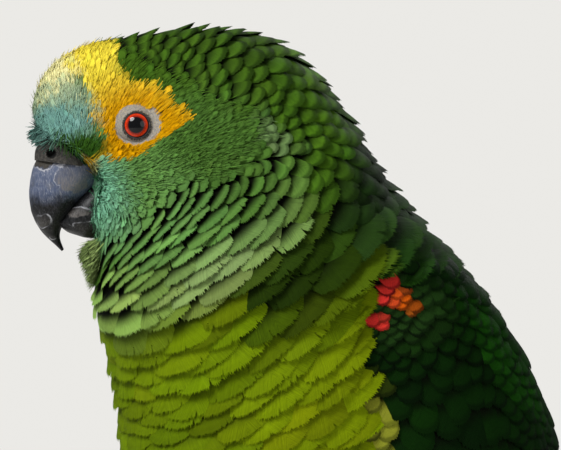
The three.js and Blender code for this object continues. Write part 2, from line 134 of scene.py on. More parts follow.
THIGH_ROWS = (
    (57.0, 183.0, 30.0, 181.0, 12.0, 17.0),
    (55.5, 171.0, 31.5, 170.0, 11.5, 17.0),
    (52.5, 161.0, 33.5, 160.0, 9.5, 17.0),
    (48.5, 154.5, 35.5, 154.0, 6.5, 17.0),
    (45.5, 150.5, 37.0, 150.5, 4.4, 17.0),
)
TURN_FROM, TURN_TO = 3.5, 11  # sections over which the head's direction turns into the body's
FACE_EDGE = (  # u and z of the feathers' edge at the bill, and its draw back beside it
    (-39.0, 280.0, 0.10),
    (-35.5, 286.0, 0.20),
    (-37.5, 291.0, 0.25),
    (-37.0, 296.0, 0.30),
    (-35.5, 302.0, 0.30),
    (-39.0, 308.5, 0.35),
    (-46.0, 313.5, 0.40),
    (-56.0, 315.5, 0.40),
)
BILL_HALF_WIDTH = 9.0
WING_FRONT = ((30, 283), (22.5, 274), (19, 260), (20, 240), (26, 218), (36, 195), (49, 172))
COVERT_EDGE = ((64, 172), (79, 178), (92, 188), (104, 198), (118, 206))
SHOULDER_TOP = ((108, 232), (92, 255), (74, 272), (55, 283), (42, 287))


def smooth_rows(rows, at):
    """Rows of a table read smoothly at fractional row numbers."""
    table = np.array(rows, float)
    at = np.clip(np.asarray(at, float), 0, len(table) - 1)
    first = np.minimum(at.astype(int), len(table) - 2)
    x = (at - first)[..., None]
    p0 = table[np.maximum(first - 1, 0)]
    p1, p2 = table[first], table[first + 1]
    p3 = table[np.minimum(first + 2, len(table) - 1)]
    slope1, slope2 = (p2 - p0) / 2, (p3 - p1) / 2
    return (
        (2 * x**3 - 3 * x**2 + 1) * p1
        + (x**3 - 2 * x**2 + x) * slope1
        + (3 * x**2 - 2 * x**3) * p2
        + (x**3 - x**2) * slope2
    )


def smoothstep(x, low, high):
    x = np.clip((np.asarray(x, float) - low) / (high - low), 0, 1)
    return x * x * (3 - 2 * x)


def unit(vectors):
    return vectors / np.maximum(np.linalg.norm(vectors, axis=-1, keepdims=True), 1e-9)


def nearest(points, places):
    """For each place, the number of the point that is nearest to it."""
    tree = KDTree(len(points))
    for index, point in enumerate(points.tolist()):
        tree.insert(point, index)
    tree.balance()
    return np.array([tree.find(place)[1] for place in places.tolist()])


def face_limit(v, z):
    """How far forward the feathered face may reach at a height and distance from its middle."""
    places, heights, slopes = zip(*FACE_EDGE)
    edge = np.interp(z, heights, places)
    slope = np.interp(z, heights, slopes)
    limit = edge + slope * np.maximum(np.abs(v) - BILL_HALF_WIDTH, 0)
    return np.where((z > heights[0]) & (z < heights[-1]), limit, -1e3)


def wrap(grid):
    """A grid that closes round its columns, with one more column at both ends."""
    return np.concatenate([grid[:, -2:-1], grid, grid[:, 1:2]], 1)


class Form:
    """A form swept through oval sections and read by section number and angle round it."""

    STEPS = 24
    AROUND = 360

    def __init__(self, rows, share=None, lean=None, side=1, limit=None, squareness=1.06):
        last = len(rows) - 1
        self.last = last
        self.sections = np.linspace(0, last, last * self.STEPS + 1)
        self.angles = np.linspace(-math.pi, math.pi, self.AROUND + 1)
        table = smooth_rows(rows, self.sections)[:, :, None]
        back_u, back_z, belly_u, belly_z, half_width = (table[:, i] for i in range(5))
        offset = side * table[:, 5] if table.shape[1] > 5 else 0.0
        lean = np.zeros(len(table)) if lean is None else lean(self.sections)
        share = np.ones(len(table)) if share is None else share(self.sections)
        cos, sin = np.cos(self.angles), np.sin(self.angles)
        filled = lambda x: np.sign(x) * np.abs(x) ** (1 / squareness)
        along, across = filled(cos) / 2, filled(sin) * (1 - lean[:, None] * cos)
        u = (back_u + belly_u) / 2 + (back_u - belly_u) * along
        z = (back_z + belly_z) / 2 + (back_z - belly_z) * along
        v = offset + half_width * across
        if limit is not None:
            u = np.maximum(u, limit(v, z))
        points = to_world(u, v, z, share[:, None])
        self.points = points
        down = np.gradient(points, axis=0) * self.STEPS
        wrapped = wrap(points)
        round_way = (wrapped[:, 2:] - wrapped[:, :-2]) / (2 * (self.angles[1] - self.angles[0]))
        normals = np.cross(round_way, down)
        middle = points[:, :-1].mean(1, keepdims=True)
        if ((points - middle) * normals).sum() < 0:
            normals = -normals
        normals = unit(normals)
        for _ in range(3):  # eases the folds at the edge of the face
            wrapped = wrap(normals)
            normals = unit(wrapped[:, 2:] + 2 * normals + wrapped[:, :-2])
        steps = np.linalg.norm(np.diff(points, axis=0), axis=2)
        self.arc = np.concatenate([np.zeros((1, points.shape[1])), np.cumsum(steps, 0)])
        scale = np.linalg.norm(round_way, axis=2)
        self.channels = np.concatenate(
            [points, normals, np.stack([u, v - offset + 0 * u, scale, self.arc], -1)], -1
        )
        self.end_slope = (points[-1] - points[-1 - self.STEPS // 2]) / (self.STEPS // 2) * self.STEPS

    def read(self, section, angle):
        """Points, normals, profile u, side place, millimetres to a radian and distance from the front."""
        section, angle = np.broadcast_arrays(section, angle)
        at = np.clip(section, 0, self.last) * self.STEPS
        i = np.minimum(at.astype(int), len(self.sections) - 2)
        x = (at - i)[..., None]
        turn = ((angle + math.pi) % (2 * math.pi)) / (2 * math.pi) * self.AROUND
        j = np.minimum(turn.astype(int), self.AROUND - 1)
        y = (turn - j)[..., None]
        grid = self.channels
        value = (grid[i, j] * (1 - y) + grid[i, j + 1] * y) * (1 - x)
        value = value + (grid[i + 1, j] * (1 - y) + grid[i + 1, j + 1] * y) * x
        beyond = np.maximum(section - self.last, 0)[..., None]
        points = value[..., :3] + beyond * self.end_slope[j]
        return points, unit(value[..., 3:6]), value[..., 6], value[..., 7], value[..., 8], value[..., 9]

    def travel(self, section, angle, distances):
        """Sections reached after going distances down the form from each root."""
        start = self.read(section, angle)[5]
        column = np.round((angle + math.pi) / (2 * math.pi) * self.AROUND).astype(int) % self.AROUND
        end = self.arc[-1]
        slope = np.linalg.norm(self.end_slope, axis=1)
        reached = np.empty(distances.shape)
        for j in np.unique(column):
            rows = column == j
            goal = start[rows].reshape((-1,) + (1,) * (distances.ndim - 1)) + distances[rows]
            inside = np.interp(goal, self.arc[:, j], self.sections)
            reached[rows] = inside + np.maximum(goal - end[j], 0) / slope[j]
        return reached


BODY = Form(
    BODY_ROWS,
    share=lambda s: smoothstep(s, TURN_FROM, TURN_TO),
    lean=lambda s: 0.2 * (1 - smoothstep(s, 3, 10)),
    limit=face_limit,
)
WING = Form(WING_ROWS)
THIGHS = {name: Form(THIGH_ROWS, side=side) for name, side in SIDES.items()}


def inside_loop(loop, u, z):
    """Whether profile places lie inside a closed loop."""
    inside = np.zeros(np.shape(u), bool)
    for (u1, z1), (u2, z2) in zip(loop, loop[1:] + loop[:1]):
        crosses = (z1 > z) != (z2 > z)
        inside ^= crosses & (u < (u2 - u1) * (z - z1) / (z2 - z1 + 1e-12) + u1)
    return inside


COVERTS_LOOP = WING_FRONT + COVERT_EDGE + SHOULDER_TOP
WING_SHOWS = (  # where no body feather covers the wing
    (17, 270), (22, 275), (30, 276.5), (40, 275), (50, 268), (60, 258), (70, 247), (78, 236), (84, 226), (92, 210),
    (97, 192), (79, 178), (64, 172), (49, 172), (34, 192), (25, 220), (20, 236), (17, 246), (15.5, 256),
)


def off_line(line, u, z):
    """Millimetres from profile places to a line."""
    away = np.full(np.shape(u), 1e9)
    for (u1, z1), (u2, z2) in zip(line, line[1:]):
        run_u, run_z = u2 - u1, z2 - z1
        share = np.clip(((u - u1) * run_u + (z - z1) * run_z) / (run_u**2 + run_z**2), 0, 1)
        away = np.minimum(away, np.hypot(u - u1 - share * run_u, z - z1 - share * run_z))
    return away


def beyond_loop(loop, u, z):
    """Millimetres from profile places to a closed loop, less than 0 inside it."""
    away = off_line(loop + loop[:1], u, z)
    return np.where(inside_loop(loop, u, z), -away, away)


ROW_LINES = (  # number of a row of feathers, and the sections where it meets the middles of back and belly
    (0, 0, 0),
    (3, 3, 2.7),
    (4.5, 4.2, 3.7),
    (6, 5.3, 4.6),
    (7, 6.3, 5.4),
    (8, 7.3, 7.4),
    (9, 8.6, 9.7),
    (10, 9.7, 11.7),
    (11, 11, 13),
    (12, 12.1, 13.9),
    (14, 14.2, 15.2),
    (16, 16.2, 16.8),
    (21, 21, 21),
)


def row_line(row, angle):
    """Sections that a row of feathers passes at angles round the body."""
    numbers, back, belly = np.array(ROW_LINES, float).T
    toward_back = np.clip(np.cos(angle), 0, 1) ** 1.4
    toward_belly = np.clip(-np.cos(angle), 0, 1) ** 1.4
    back, belly = np.interp(row, numbers, back), np.interp(row, numbers, belly)
    return row + (back - row) * toward_back + (belly - row) * toward_belly


def row_at(section, angle):
    """The row that passes a place, the inverse of row_line."""
    row = np.array(section, float)
    for _ in range(6):
        row = row - 0.8 * (row_line(row, angle) - section)
    return row


# Markings, painted from the green of the back outwards to the forehead


def srgb(red, green, blue):
    """A colour written as 0 to 255, as linear values."""
    c = np.array((red, green, blue)) / 255
    return tuple(np.where(c <= 0.04045, c / 12.92, ((c + 0.055) / 1.055) ** 2.4))


YELLOW_LOOP = (  # profile places round the yellow of forehead and face
    (-45.1, 341.8), (-37.5, 344.7), (-29.5, 344.7), (-29.1, 341.8), (-27.8, 338.4), (-26.2, 334.6), (-22.4, 332.9),
    (-18.6, 332.9), (-16.1, 330), (-14, 328.3), (-12.5, 325), (-8.1, 322.2), (-11.5, 319.2), (-15.2, 316.1),
    (-19, 314), (-22, 310.7), (-24.9, 309), (-29.1, 309), (-33.3, 309.8), (-36.5, 307.3), (-38.8, 304),
    (-39.8, 306.1), (-37.9, 310.7), (-34.1, 314), (-31.2, 315.7), (-33.3, 317.8), (-35.6, 319.9), (-36.8, 322.4),
    (-37.1, 325.8), (-37.9, 330), (-39.2, 334.2), (-42.5, 335), (-45.9, 336.7),
)
MARKS = {  # ovals in profile: middle u and z, half length and height, tilt and softness of the edge
    "ear": (-10, 308, 20, 24, 20, 0.4),
    # A painted sheen on the ear coverts.
    "ear_sheen": (9, 316, 3.2, 6.5, 15, 0.6),
    "cheek": (-29, 296, 18, 21, 20, 0.35),
    "teal": (-38, 299.5, 10.5, 14.5, 12, 0.5),
    "dark_tuft": (-22.5, 339.5, 6.5, 6.5, 0, 0.15),
    "amber": (-22, 317, 17, 15.5, 0, 0.5),
    "brow": (-51, 333.5, 9.5, 9, -25, 0.4),
    "blue": (-46, 323.5, 10.5, 9.5, 15, 0.22),
    "deep_blue": (-47, 319.5, 11, 6.5, 5, 0.45),
    "lores": (-37.5, 313.5, 6, 3.4, -12, 0.35),
    "gape": (-36.6, 307.4, 2.8, 2.8, 0, 0.4),
    "smooth_forehead": (-48, 326, 13, 16, 0, 0.2),
    "lit_coverts": (69, 247, 7, 24, 40, 0.5),
    "wing_bend": (30, 264, 15, 10, -10, 0.5),
    "wing_edge": (27, 228, 2.6, 15, 14, 0.4),
    "red": (26, 269.4, 6.6, 3.4, -25, 0.2),
    "lower_red": (21.8, 260.6, 3.6, 2.6, 0, 0.2),
    "orange": (31.6, 266.4, 4.4, 2.8, -22, 0.4),
}
# The oval of a painted shadow under the ruff's edge.
RUFF_SHADOW = (9.0, 96, 0.85, 24, 0, 0.5)  # the same over rows of feathers and degrees from the back
# The oval of a painted sheen on the side of the ruff.
RUFF_SHEEN = (8.04, 106, 0.38, 28, 0, 0.5)


def oval_distance(u, z, middle_u, middle_z, half_u, half_z, tilt):
    """Distance from a tilted oval's middle as a share of the way to its edge."""
    angle = math.radians(tilt)
    du, dz = u - middle_u, z - middle_z
    along = (du * math.cos(angle) + dz * math.sin(angle)) / half_u
    across = (-du * math.sin(angle) + dz * math.cos(angle)) / half_z
    return np.hypot(along, across)


def oval_mask(u, z, *oval):
    """1 inside an oval, falling to 0 across its soft edge."""
    *shape, soft = oval
    return 1 - smoothstep(oval_distance(u, z, *shape), 1 - soft, 1 + soft)


def paint(colour, layers):
    """A colour with others laid over it, each where its mask says."""
    for mask, new in layers:
        colour = colour + np.asarray(mask)[..., None] * (np.array(new) - colour)
    return colour


def evenly(colour, places):
    return np.broadcast_to(np.array(colour), np.shape(places) + (3,))


def body_markings(u, z, section, angle, palette, scatter=0.0):
    """Plumage colours over the head and body, with painted shadow behind the ruff, painted sheen on the neck and
    painted shade on the mantle and shoulder. Scatter moves each feather's limits a little.
    """
    belly = (1 - np.cos(angle)) / 2
    degrees = np.degrees(np.abs((angle + math.pi) % (2 * math.pi) - math.pi))
    row = row_at(section, angle) + scatter * 0.05
    u, z = u + scatter, z + scatter * 0.7
    up, fall = smoothstep, lambda value, low, high: 1 - smoothstep(value, low, high)
    mark = lambda name, du=0.0, dz=0.0: oval_mask(u + du, z + dz, *MARKS[name])
    stray = 0.9 * np.sin(z * 1.7 + 1.3 * np.sin(u * 0.9)) + 0.8 * np.sin(u * 1.3 + z * 0.6) + scatter * 0.6
    rump = up(section, 16.0, 18.5) * fall(belly, 0.3, 0.6)
    shoulder = up(row, 9.2, 9.8) * fall(row, 13, 15) * fall(degrees, 66, 84) * up(degrees, 20, 45)
    flank = up(row, 9.4, 10.8) * up(degrees, 80, 93) * fall(degrees, 120, 150)
    yellow = inside_loop(YELLOW_LOOP, u, z).astype(float)
    blue = mark("blue", stray, -stray)
    tufts = up(np.sin(u * 1.1 + 0.6 * z + stray) + np.sin(z * 0.8 - u * 0.7), 0.9, 1.5) * blue * up(z, 321, 325)
    layers = (
        (fall(section, 6.4, 7.6) * (1 - belly), palette.cap),
        (up(row, 6.2, 7.2) * up(belly, 0.35, 0.6), palette.neck_side),
        (up(row, 7.9, 8.4) * up(degrees, 70, 86), palette.breast),
        # painted shadow under the ruff's edge
        (oval_mask(row, degrees, *RUFF_SHADOW), palette.hollow),
        # painted sheen on the side of the ruff
        (oval_mask(row, degrees, *RUFF_SHEEN), palette.bloom),
        (up(row, 6.2, 7.0) * up(degrees, 132, 150) * fall(row, 7.8, 8.6), palette.throat),
        # the mantle's green, darkened as painted shade
        (up(row, 8.4, 9.0) * fall(degrees, 70, 84), palette.mantle),
        # the wing's colour, darkened as painted shade, over the body feathers at the shoulder
        (shoulder * 0.7, palette.wing),
        (rump, palette.rump),
        (up(section, 16.5, 18.5) * up(belly, 0.4, 0.7), palette.vent),
        (flank * (1 - rump), palette.flank),
        (mark("ear") * up(belly, 0.12, 0.3), palette.ear),
        # painted sheen on the ear coverts
        (mark("ear_sheen") * 0.4, palette.bloom * 0.5 + palette.forehead_pale * 0.4),
        (mark("cheek"), palette.cheek),
        (mark("teal") * 0.95, palette.teal),
        (yellow * (1 - mark("dark_tuft")), palette.yellow),
        (mark("amber") * yellow, palette.amber),
        (mark("brow", stray, stray), palette.pale),
        (blue * 0.85, palette.forehead_pale),
        (tufts * 0.6, palette.pale),
        (mark("deep_blue", stray, stray * 0.6), palette.forehead),
        (mark("lores"), palette.lores),
        (mark("gape") * 0.6, palette.amber * 0.7),
    )
    return paint(evenly(palette.nape, u), layers)


def softness(u, z):
    """1 on the smooth yellow and blue plumage of the face, 0 elsewhere."""
    yellow = inside_loop(YELLOW_LOOP, u, z).astype(float)
    return np.maximum(yellow, oval_mask(u, z, *MARKS["smooth_forehead"]))


def wing_markings(u, z, palette, scatter=0.0):
    """Plumage colours over the folded wing, its green darkened as painted shade, with a painted pool of light on the
    lit coverts.
    """
    mark = lambda name: oval_mask(u + scatter, z + scatter, *MARKS[name])
    layers = (
        # painted light over the lit coverts, on the wing's green that is darkened as painted shade
        (mark("lit_coverts") * 0.8, palette.wing_light),
        (mark("wing_bend") * 0.8, palette.wing_bend),
        (mark("wing_edge") * 0.8, palette.wing_edge),
        (np.maximum(mark("red"), mark("lower_red")), palette.shoulder_red),
        (mark("orange"), palette.shoulder_orange),
    )
    return paint(evenly(palette.wing, u), layers)


# Mesh making


def make_mesh(name, points, faces_of, smooth=True):
    """An object from points in millimetres and a list of face index arrays of equal-sided faces."""
    mesh = bpy.data.meshes.new(name)
    loops = np.concatenate([f.ravel() for f in faces_of]).astype(np.int32)
    totals = np.concatenate([np.full(len(f), f.shape[1]) for f in faces_of]).astype(np.int32)
    starts = np.concatenate([[0], np.cumsum(totals)[:-1]]).astype(np.int32)
    mesh.vertices.add(len(points))
    mesh.vertices.foreach_set("co", (np.asarray(points) * MM).astype(np.float32).ravel())
    mesh.loops.add(len(loops))
    mesh.loops.foreach_set("vertex_index", loops)
    mesh.polygons.add(len(totals))
    mesh.polygons.foreach_set("loop_start", starts)
    mesh.polygons.foreach_set("loop_total", totals)
    mesh.update(calc_edges=True)
    if mesh.validate():
        raise RuntimeError(f"{name} has faces that can't be made")
    mesh.polygons.foreach_set("use_smooth", np.full(len(totals), smooth))
    made = bpy.data.objects.new(name, mesh)
    bpy.context.collection.objects.link(made)
    return made


def add_attribute(made, name, kind, values):
    attribute = made.data.attributes.new(name, kind, "POINT")
    key = {"FLOAT_COLOR": "color", "FLOAT_VECTOR": "vector", "FLOAT": "value"}[kind]
    values = np.asarray(values, np.float32)
    if kind == "FLOAT_COLOR":
        values = np.concatenate([values, np.ones((len(values), 1), np.float32)], 1)
    attribute.data.foreach_set(key, values.ravel())


def grid_faces(rows, columns, closed=False):
    """Quads of a grid of rows x columns points, which may close round its columns."""
    i, j = np.meshgrid(np.arange(rows - 1), np.arange(columns if closed else columns - 1), indexing="ij")
    first, beside = i * columns + j, i * columns + (j + 1) % columns
    return np.stack([first, beside, beside + columns, first + columns], -1).reshape(-1, 4)


def tube_mesh(name, rings, smooth=True):
    """A closed tube through rings of points (rows, sides, 3), with a fan over each end."""
    rows, sides, _ = rings.shape
    points = np.concatenate([rings.reshape(-1, 3), rings[0].mean(0)[None], rings[-1].mean(0)[None]])
    j = np.arange(sides)
    nxt = (j + 1) % sides
    first, last = rows * sides, rows * sides + 1
    fans = np.concatenate(
        [
            np.stack([np.full(sides, first), nxt, j], -1),
            np.stack([np.full(sides, last), (rows - 1) * sides + j, (rows - 1) * sides + nxt], -1),
        ]
    )
    made = make_mesh(name, points, [grid_faces(rows, sides, True), fans], smooth)
    face_out(made)
    return made


def full_turn(count):
    return np.linspace(0, 2 * math.pi, count, endpoint=False)


def face_out(made):
    work = bmesh.new()
    work.from_mesh(made.data)
    bmesh.ops.recalc_face_normals(work, faces=work.faces)
    work.to_mesh(made.data)
    work.free()


def joined(name, parts):
    """Objects joined to one, which takes the name."""
    with bpy.context.temp_override(active_object=parts[0], selected_editable_objects=parts, selected_objects=parts):
        bpy.ops.object.join()
    parts[0].name = parts[0].data.name = name
    return parts[0]


def finish_piece(made, material, replaced=()):
    made.data.materials.clear()
    made.data.materials.append(material)
    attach(made, "root")
    if replaced:
        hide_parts(*replaced)
    return made


# Feathers


class Flock:
    """Feathers to be grown: one value of each measure for each of them."""

    MEASURES = (
        "section", "angle", "length", "half_width", "base", "depth", "lift", "cup", "twist", "sweep", "turn", "way",
        "curl", "rounding", "fringe", "margin",
    )

    def __init__(self, count, rng, colour, tip_colour=None, **measures):
        self.count = count
        for key in self.MEASURES:
            setattr(self, key, np.broadcast_to(np.asarray(measures.get(key, 0.0), float), (count,)).copy())
        self.colour = np.broadcast_to(np.asarray(colour, float), (count, 3)).copy()
        tips = self.colour if tip_colour is None else np.asarray(tip_colour, float)
        self.tip_colour = np.broadcast_to(tips, (count, 3)).copy()
        self.tone = rng.random(count)

    def where(self, keep):
        """The feathers for which keep is true."""
        part = object.__new__(Flock)
        for key, value in self.__dict__.items():
            setattr(part, key, int(np.sum(keep)) if key == "count" else value[keep])
        return part


VANE_ROOT_WIDTH = 0.34  # as a share of the vane's full width
TIP_POWER = 2.2  # how square the ends of vanes are
SPLIT_SHARE, SPLIT_DEPTH, SPLIT_FRINGE = 0.05, (0.4, 2.0), 0.55  # splits in the ends of well fringed vanes
SHORT_BARBS, BARB_REACH = 0.09, (0.45, 0.75)


def vane_template(columns, rows, barrel):
    """Across and along places of one vane, its fringe of barb ends, its widths and its faces."""
    x = np.linspace(-1, 1, columns + 1)
    t = vane_rows(rows)
    across, along = np.meshgrid(x, t)
    tips = (x[:-1] + x[1:]) / 2
    quads = grid_faces(rows + 1, columns + 1)
    base = rows * (columns + 1) + np.arange(columns)
    spikes = np.stack([base, base + 1, (rows + 1) * (columns + 1) + np.arange(columns)], -1)
    widths = VANE_ROOT_WIDTH + (1 - VANE_ROOT_WIDTH) * smoothstep(t, -0.1, barrel)
    return across.ravel(), along.ravel(), tips, np.repeat(widths, columns + 1), quads, spikes


def vane_rows(rows):
    """Shares of a vane's length at which its rows of points lie."""
    return np.linspace(0, 1, rows + 1) ** 0.9


def vane_layout(flock, columns, rows, rng, barrel):
    """Millimetres across and along for every point of every feather, with its share of both."""
    across, along, tips, widths, quads, spikes = vane_template(columns, rows, barrel)
    arc = lambda x: 1 - (1 - np.abs(x) ** TIP_POWER) ** (1 / TIP_POWER)
    n = flock.count
    share_along = along[None] * (1 - flock.rounding[:, None] * arc(across)[None])
    tip_reach = 1 - flock.rounding[:, None] * arc(tips)[None]
    notch = (rng.random((n, columns + 1)) < SPLIT_SHARE) * rng.uniform(*SPLIT_DEPTH, (n, columns + 1))
    notch = notch * (flock.fringe * (flock.fringe > SPLIT_FRINGE) / flock.length)[:, None]
    share_along[:, rows * (columns + 1) :] -= notch
    least, more = BARB_REACH
    uneven = (least + more * rng.random((n, columns))) * (rng.random((n, columns)) > SHORT_BARBS)
    uneven = uneven * (1 - 0.6 * (notch[:, 1:] + notch[:, :-1] > 0))
    tip_along = tip_reach + (flock.fringe / flock.length)[:, None] * uneven
    splay = 0.3 * np.sign(tips) * np.abs(tips) ** 0.5 + rng.normal(0, 0.12, (n, columns))
    tip_across = tips + (flock.fringe / flock.half_width)[:, None] * splay
    share_along = np.concatenate([share_along, tip_along], 1)
    share_across = np.concatenate([np.broadcast_to(across, (n, len(across))), tip_across], 1)
    width = np.concatenate([widths, np.ones(columns)])
    return share_across, share_along, share_across * width * flock.half_width[:, None], quads, spikes


def soften_normals(made, normals, share):
    """Turns the shading of feathers toward that of the form under them."""
    mesh = made.data
    own = np.empty(len(mesh.vertices) * 3, np.float32)
    mesh.vertex_normals.foreach_get("vector", own)
    own = own.reshape(-1, 3)
    normals = normals * np.where((own * normals).sum(-1, keepdims=True) < 0, -1, 1)
    mesh.normals_split_custom_set_from_vertices(unit(own * (1 - share) + normals * share).tolist())


TRIANGLE_LIMIT = 200_000
FRINGE_END = 1.08  # how far down a vane its barb ends reach for its markings
UV_PATCH = (0.0015, 0.003)  # half the width and the whole height of each feather's patch
UNWRAP = {  # low and high u, low and high v of each group of feathers
    "body": (0.02, 0.62, 0.02, 0.98),
    "thigh_left": (0.64, 0.80, 0.02, 0.45),
    "thigh_right": (0.82, 0.98, 0.02, 0.45),
    "wing_left": (0.64, 0.80, 0.48, 0.98),
    "wing_right": (0.82, 0.98, 0.48, 0.98),
    "tail": (0.64, 0.98, 0.02, 0.2),
}


def grow(name, flock, place, columns, rows, rng, group="body", barrel=0.55, soften=0.4):
    """One joined mesh of feathers. Place turns millimetres into points and normals."""
    if flock.count == 0:
        raise RuntimeError(f"{name} has no feathers")
    share_across, share_along, across_mm, quads, spikes = vane_layout(flock, columns, rows, rng, barrel)
    if flock.count * (2 * len(quads) + len(spikes)) > TRIANGLE_LIMIT:
        raise RuntimeError(f"{name} has too many triangles")
    across_mm = across_mm + flock.sweep[:, None] * share_along**2
    along_mm = share_along * flock.length[:, None]
    points, normals = place(flock, along_mm, across_mm)
    t = np.clip(share_along, 0, 1.15)
    from_shaft = share_across * flock.half_width[:, None]
    height = flock.base[:, None] - flock.depth[:, None] * np.clip(1 - t, 0, 1) ** 1.5
    height = height + flock.lift[:, None] * t**2.2 - flock.curl[:, None] * np.clip((t - 0.55) / 0.45, 0, 1.2) ** 2
    height = height - flock.cup[:, None] * share_across * from_shaft * (0.35 + 0.65 * t)
    height = height + flock.twist[:, None] * from_shaft * t
    points = points + normals * height[..., None]
    offsets = (np.arange(flock.count) * points.shape[1])[:, None, None]
    faces = [(quads[None] + offsets).reshape(-1, 4), (spikes[None] + offsets).reshape(-1, 3)]
    made = make_mesh(name, points.reshape(-1, 3), faces)
    soften_normals(made, unit(normals.reshape(-1, 3)), soften)

    all_points = lambda values: np.broadcast_to(values, along_mm.shape)
    toward_tip = smoothstep(share_along, 0.45, 1.0)[..., None]
    colour = flock.colour[:, None] * (1 - toward_tip) + flock.tip_colour[:, None] * toward_tip
    vane = np.stack([across_mm, along_mm, all_points(flock.tone[:, None])], -1)
    raw = np.concatenate([np.repeat(vane_rows(rows), columns + 1), np.full(columns, FRINGE_END)])
    finish = np.stack([np.abs(share_across), all_points(raw), all_points(flock.margin[:, None])], -1)
    add_attribute(made, "plumage", "FLOAT_COLOR", colour.reshape(-1, 3))
    add_attribute(made, "vane", "FLOAT_VECTOR", vane.reshape(-1, 3))
    add_attribute(made, "finish", "FLOAT_VECTOR", finish.reshape(-1, 3))
    low_u, high_u, low_v, high_v = UNWRAP[group]
    patch_u = low_u + (high_u - low_u) * ((flock.angle + math.pi) % (2 * math.pi)) / (2 * math.pi)
    patch_v = low_v + (high_v - low_v) * np.clip(flock.section / (len(BODY_ROWS) - 1), 0, 1)
    patch_u = patch_u[:, None] + UV_PATCH[0] * np.clip(share_across, -1, 1)
    patch_v = patch_v[:, None] + UV_PATCH[1] * (np.clip(share_along, 0, 1) - 0.5)
    uv = np.stack([patch_u, patch_v], -1).reshape(-1, 2)[np.concatenate([part.ravel() for part in faces])]
    made.data.uv_layers.new(name="OFBake").data.foreach_set("uv", uv.astype(np.float32).ravel())
    return made


def grid_ways(form, section, angle, near=0.02):
    """Unit ways down and round a form at places, and the way square to both the first and the surface."""
    points, normals = form.read(section, angle)[:2]
    down = unit(form.read(section + near, angle)[0] - points)
    around = unit(form.read(section, angle + near)[0] - points)
    lean = (down * around).sum(-1)
    return points, normals, down, around, np.clip(lean, -0.9, 0.9)


def drift(way, lean, along, across):
    """Millimetres down and round a leaning grid for millimetres along and across a feather laid its own way."""
    upright = np.sqrt(1 - lean**2)
    cos, sin = np.cos(way), np.sin(way)
    down = along * (cos - sin * lean / upright) - across * (sin + cos * lean / upright)
    return down, (along * sin + across * cos) / upright


def lie_on(form):
    """A place function for feathers that lie along a form, each turned its own way off the line down it."""

    def place(flock, along_mm, across_mm):
        lean = grid_ways(form, flock.section, flock.angle)[4][:, None]
        down, around = drift(flock.way[:, None], lean, along_mm, across_mm)
        sections = form.travel(flock.section, flock.angle, down)
        way = flock.angle[:, None] + flock.turn[:, None] * along_mm / flock.length[:, None]
        scale = form.read(sections, way)[4]
        angles = way + around / np.maximum(scale, 2.0)
        points, normals, *_ = form.read(sections, angles)
        return points, normals

    return place


PLACES_ROUND = 1081  # places round the form at which a row may have a root
ROWS_BEHIND = 2.0  # rows between a feather and the next one grown at the same place
ROW_STEP = 0.25  # the most that one step adds, as a share of the distance between rows


def lay_rows(form, start, end, exposure, spacing, rng, line=None, jitter=0.08, angles=(-math.pi, math.pi)):
    """Roots laid like shingles: each goes where the ones before it have fallen the set number of rows behind.

    Gives each root's section, angle, row, distance to the next row and way off the line down the form.
    """
    line = line or (lambda row, angle: row + 0 * angle)
    fine = np.linspace(*angles, PLACES_ROUND)
    closed = angles[1] - angles[0] > 2 * math.pi - 0.01
    kept = []
    row, near = start, 0.02
    behind, passed = np.full(len(fine), ROWS_BEHIND), np.zeros(len(fine))
    while row < end:
        section = line(row, fine)
        points, _, down, around, lean = grid_ways(form, section, fine)
        run = unit(np.gradient(points, axis=0))
        ahead = form.read(line(row + near, fine), fine)[0] - points
        out = ahead - (ahead * run).sum(-1, keepdims=True) * run
        wanted = exposure(section, fine)
        share = np.linalg.norm(out, axis=-1) / near / wanted
        step = ROW_STEP / max(np.percentile(share, 93), 0.5)
        lengths = np.linalg.norm(np.diff(points, axis=0), axis=1)
        gaps = spacing(section, fine)
        count = np.concatenate([[0], np.cumsum(lengths * 2 / (gaps[1:] + gaps[:-1]))])
        picks = []
        best = int(np.argmax(behind))
        while behind[best] >= ROWS_BEHIND:
            away = np.abs(count - count[best])
            away = np.minimum(away, count[-1] - away) if closed else away
            behind = np.minimum(behind, ROWS_BEHIND * away)
            picks.append(best)
            best = int(np.argmax(behind))
        if picks:
            pick = np.array(picks)
            at = np.interp(count[pick] + rng.normal(0, jitter, len(pick)), count, fine)
            shift = rng.normal(0, 0.06, len(pick)) / np.maximum(share[pick], 0.05)
            beside = (around - lean[:, None] * down) / np.sqrt(1 - lean**2)[:, None]
            way = np.arctan2((out * beside).sum(-1), (out * down).sum(-1))
            root = np.clip(line(row + shift, at), 0, form.last)
            kept.append(np.stack([root, at, passed[pick], wanted[pick], way[pick]]))
        behind = behind + share * step
        passed = passed + share * step
        row += step
    return np.concatenate(kept, 1)


# Sizes and colours


def colour_property(place, *value):
    """The colour of one place on the model, its default written as 0 to 255."""
    name, description = place.removeprefix("the ").capitalize(), f"Colour of {place}"
    return FloatVectorProperty(
        name=name, description=description, subtype="COLOR", size=3, min=0, max=1, default=srgb(*value)
    )


def length_property(name, description, default, low, high):
    """A length kept in metres, its default and limits written in millimetres."""
    default, low, high = default * MM, low * MM, high * MM
    return FloatProperty(
        name=name, description=description, default=default, min=low, max=high, unit="LENGTH", precision=5
    )


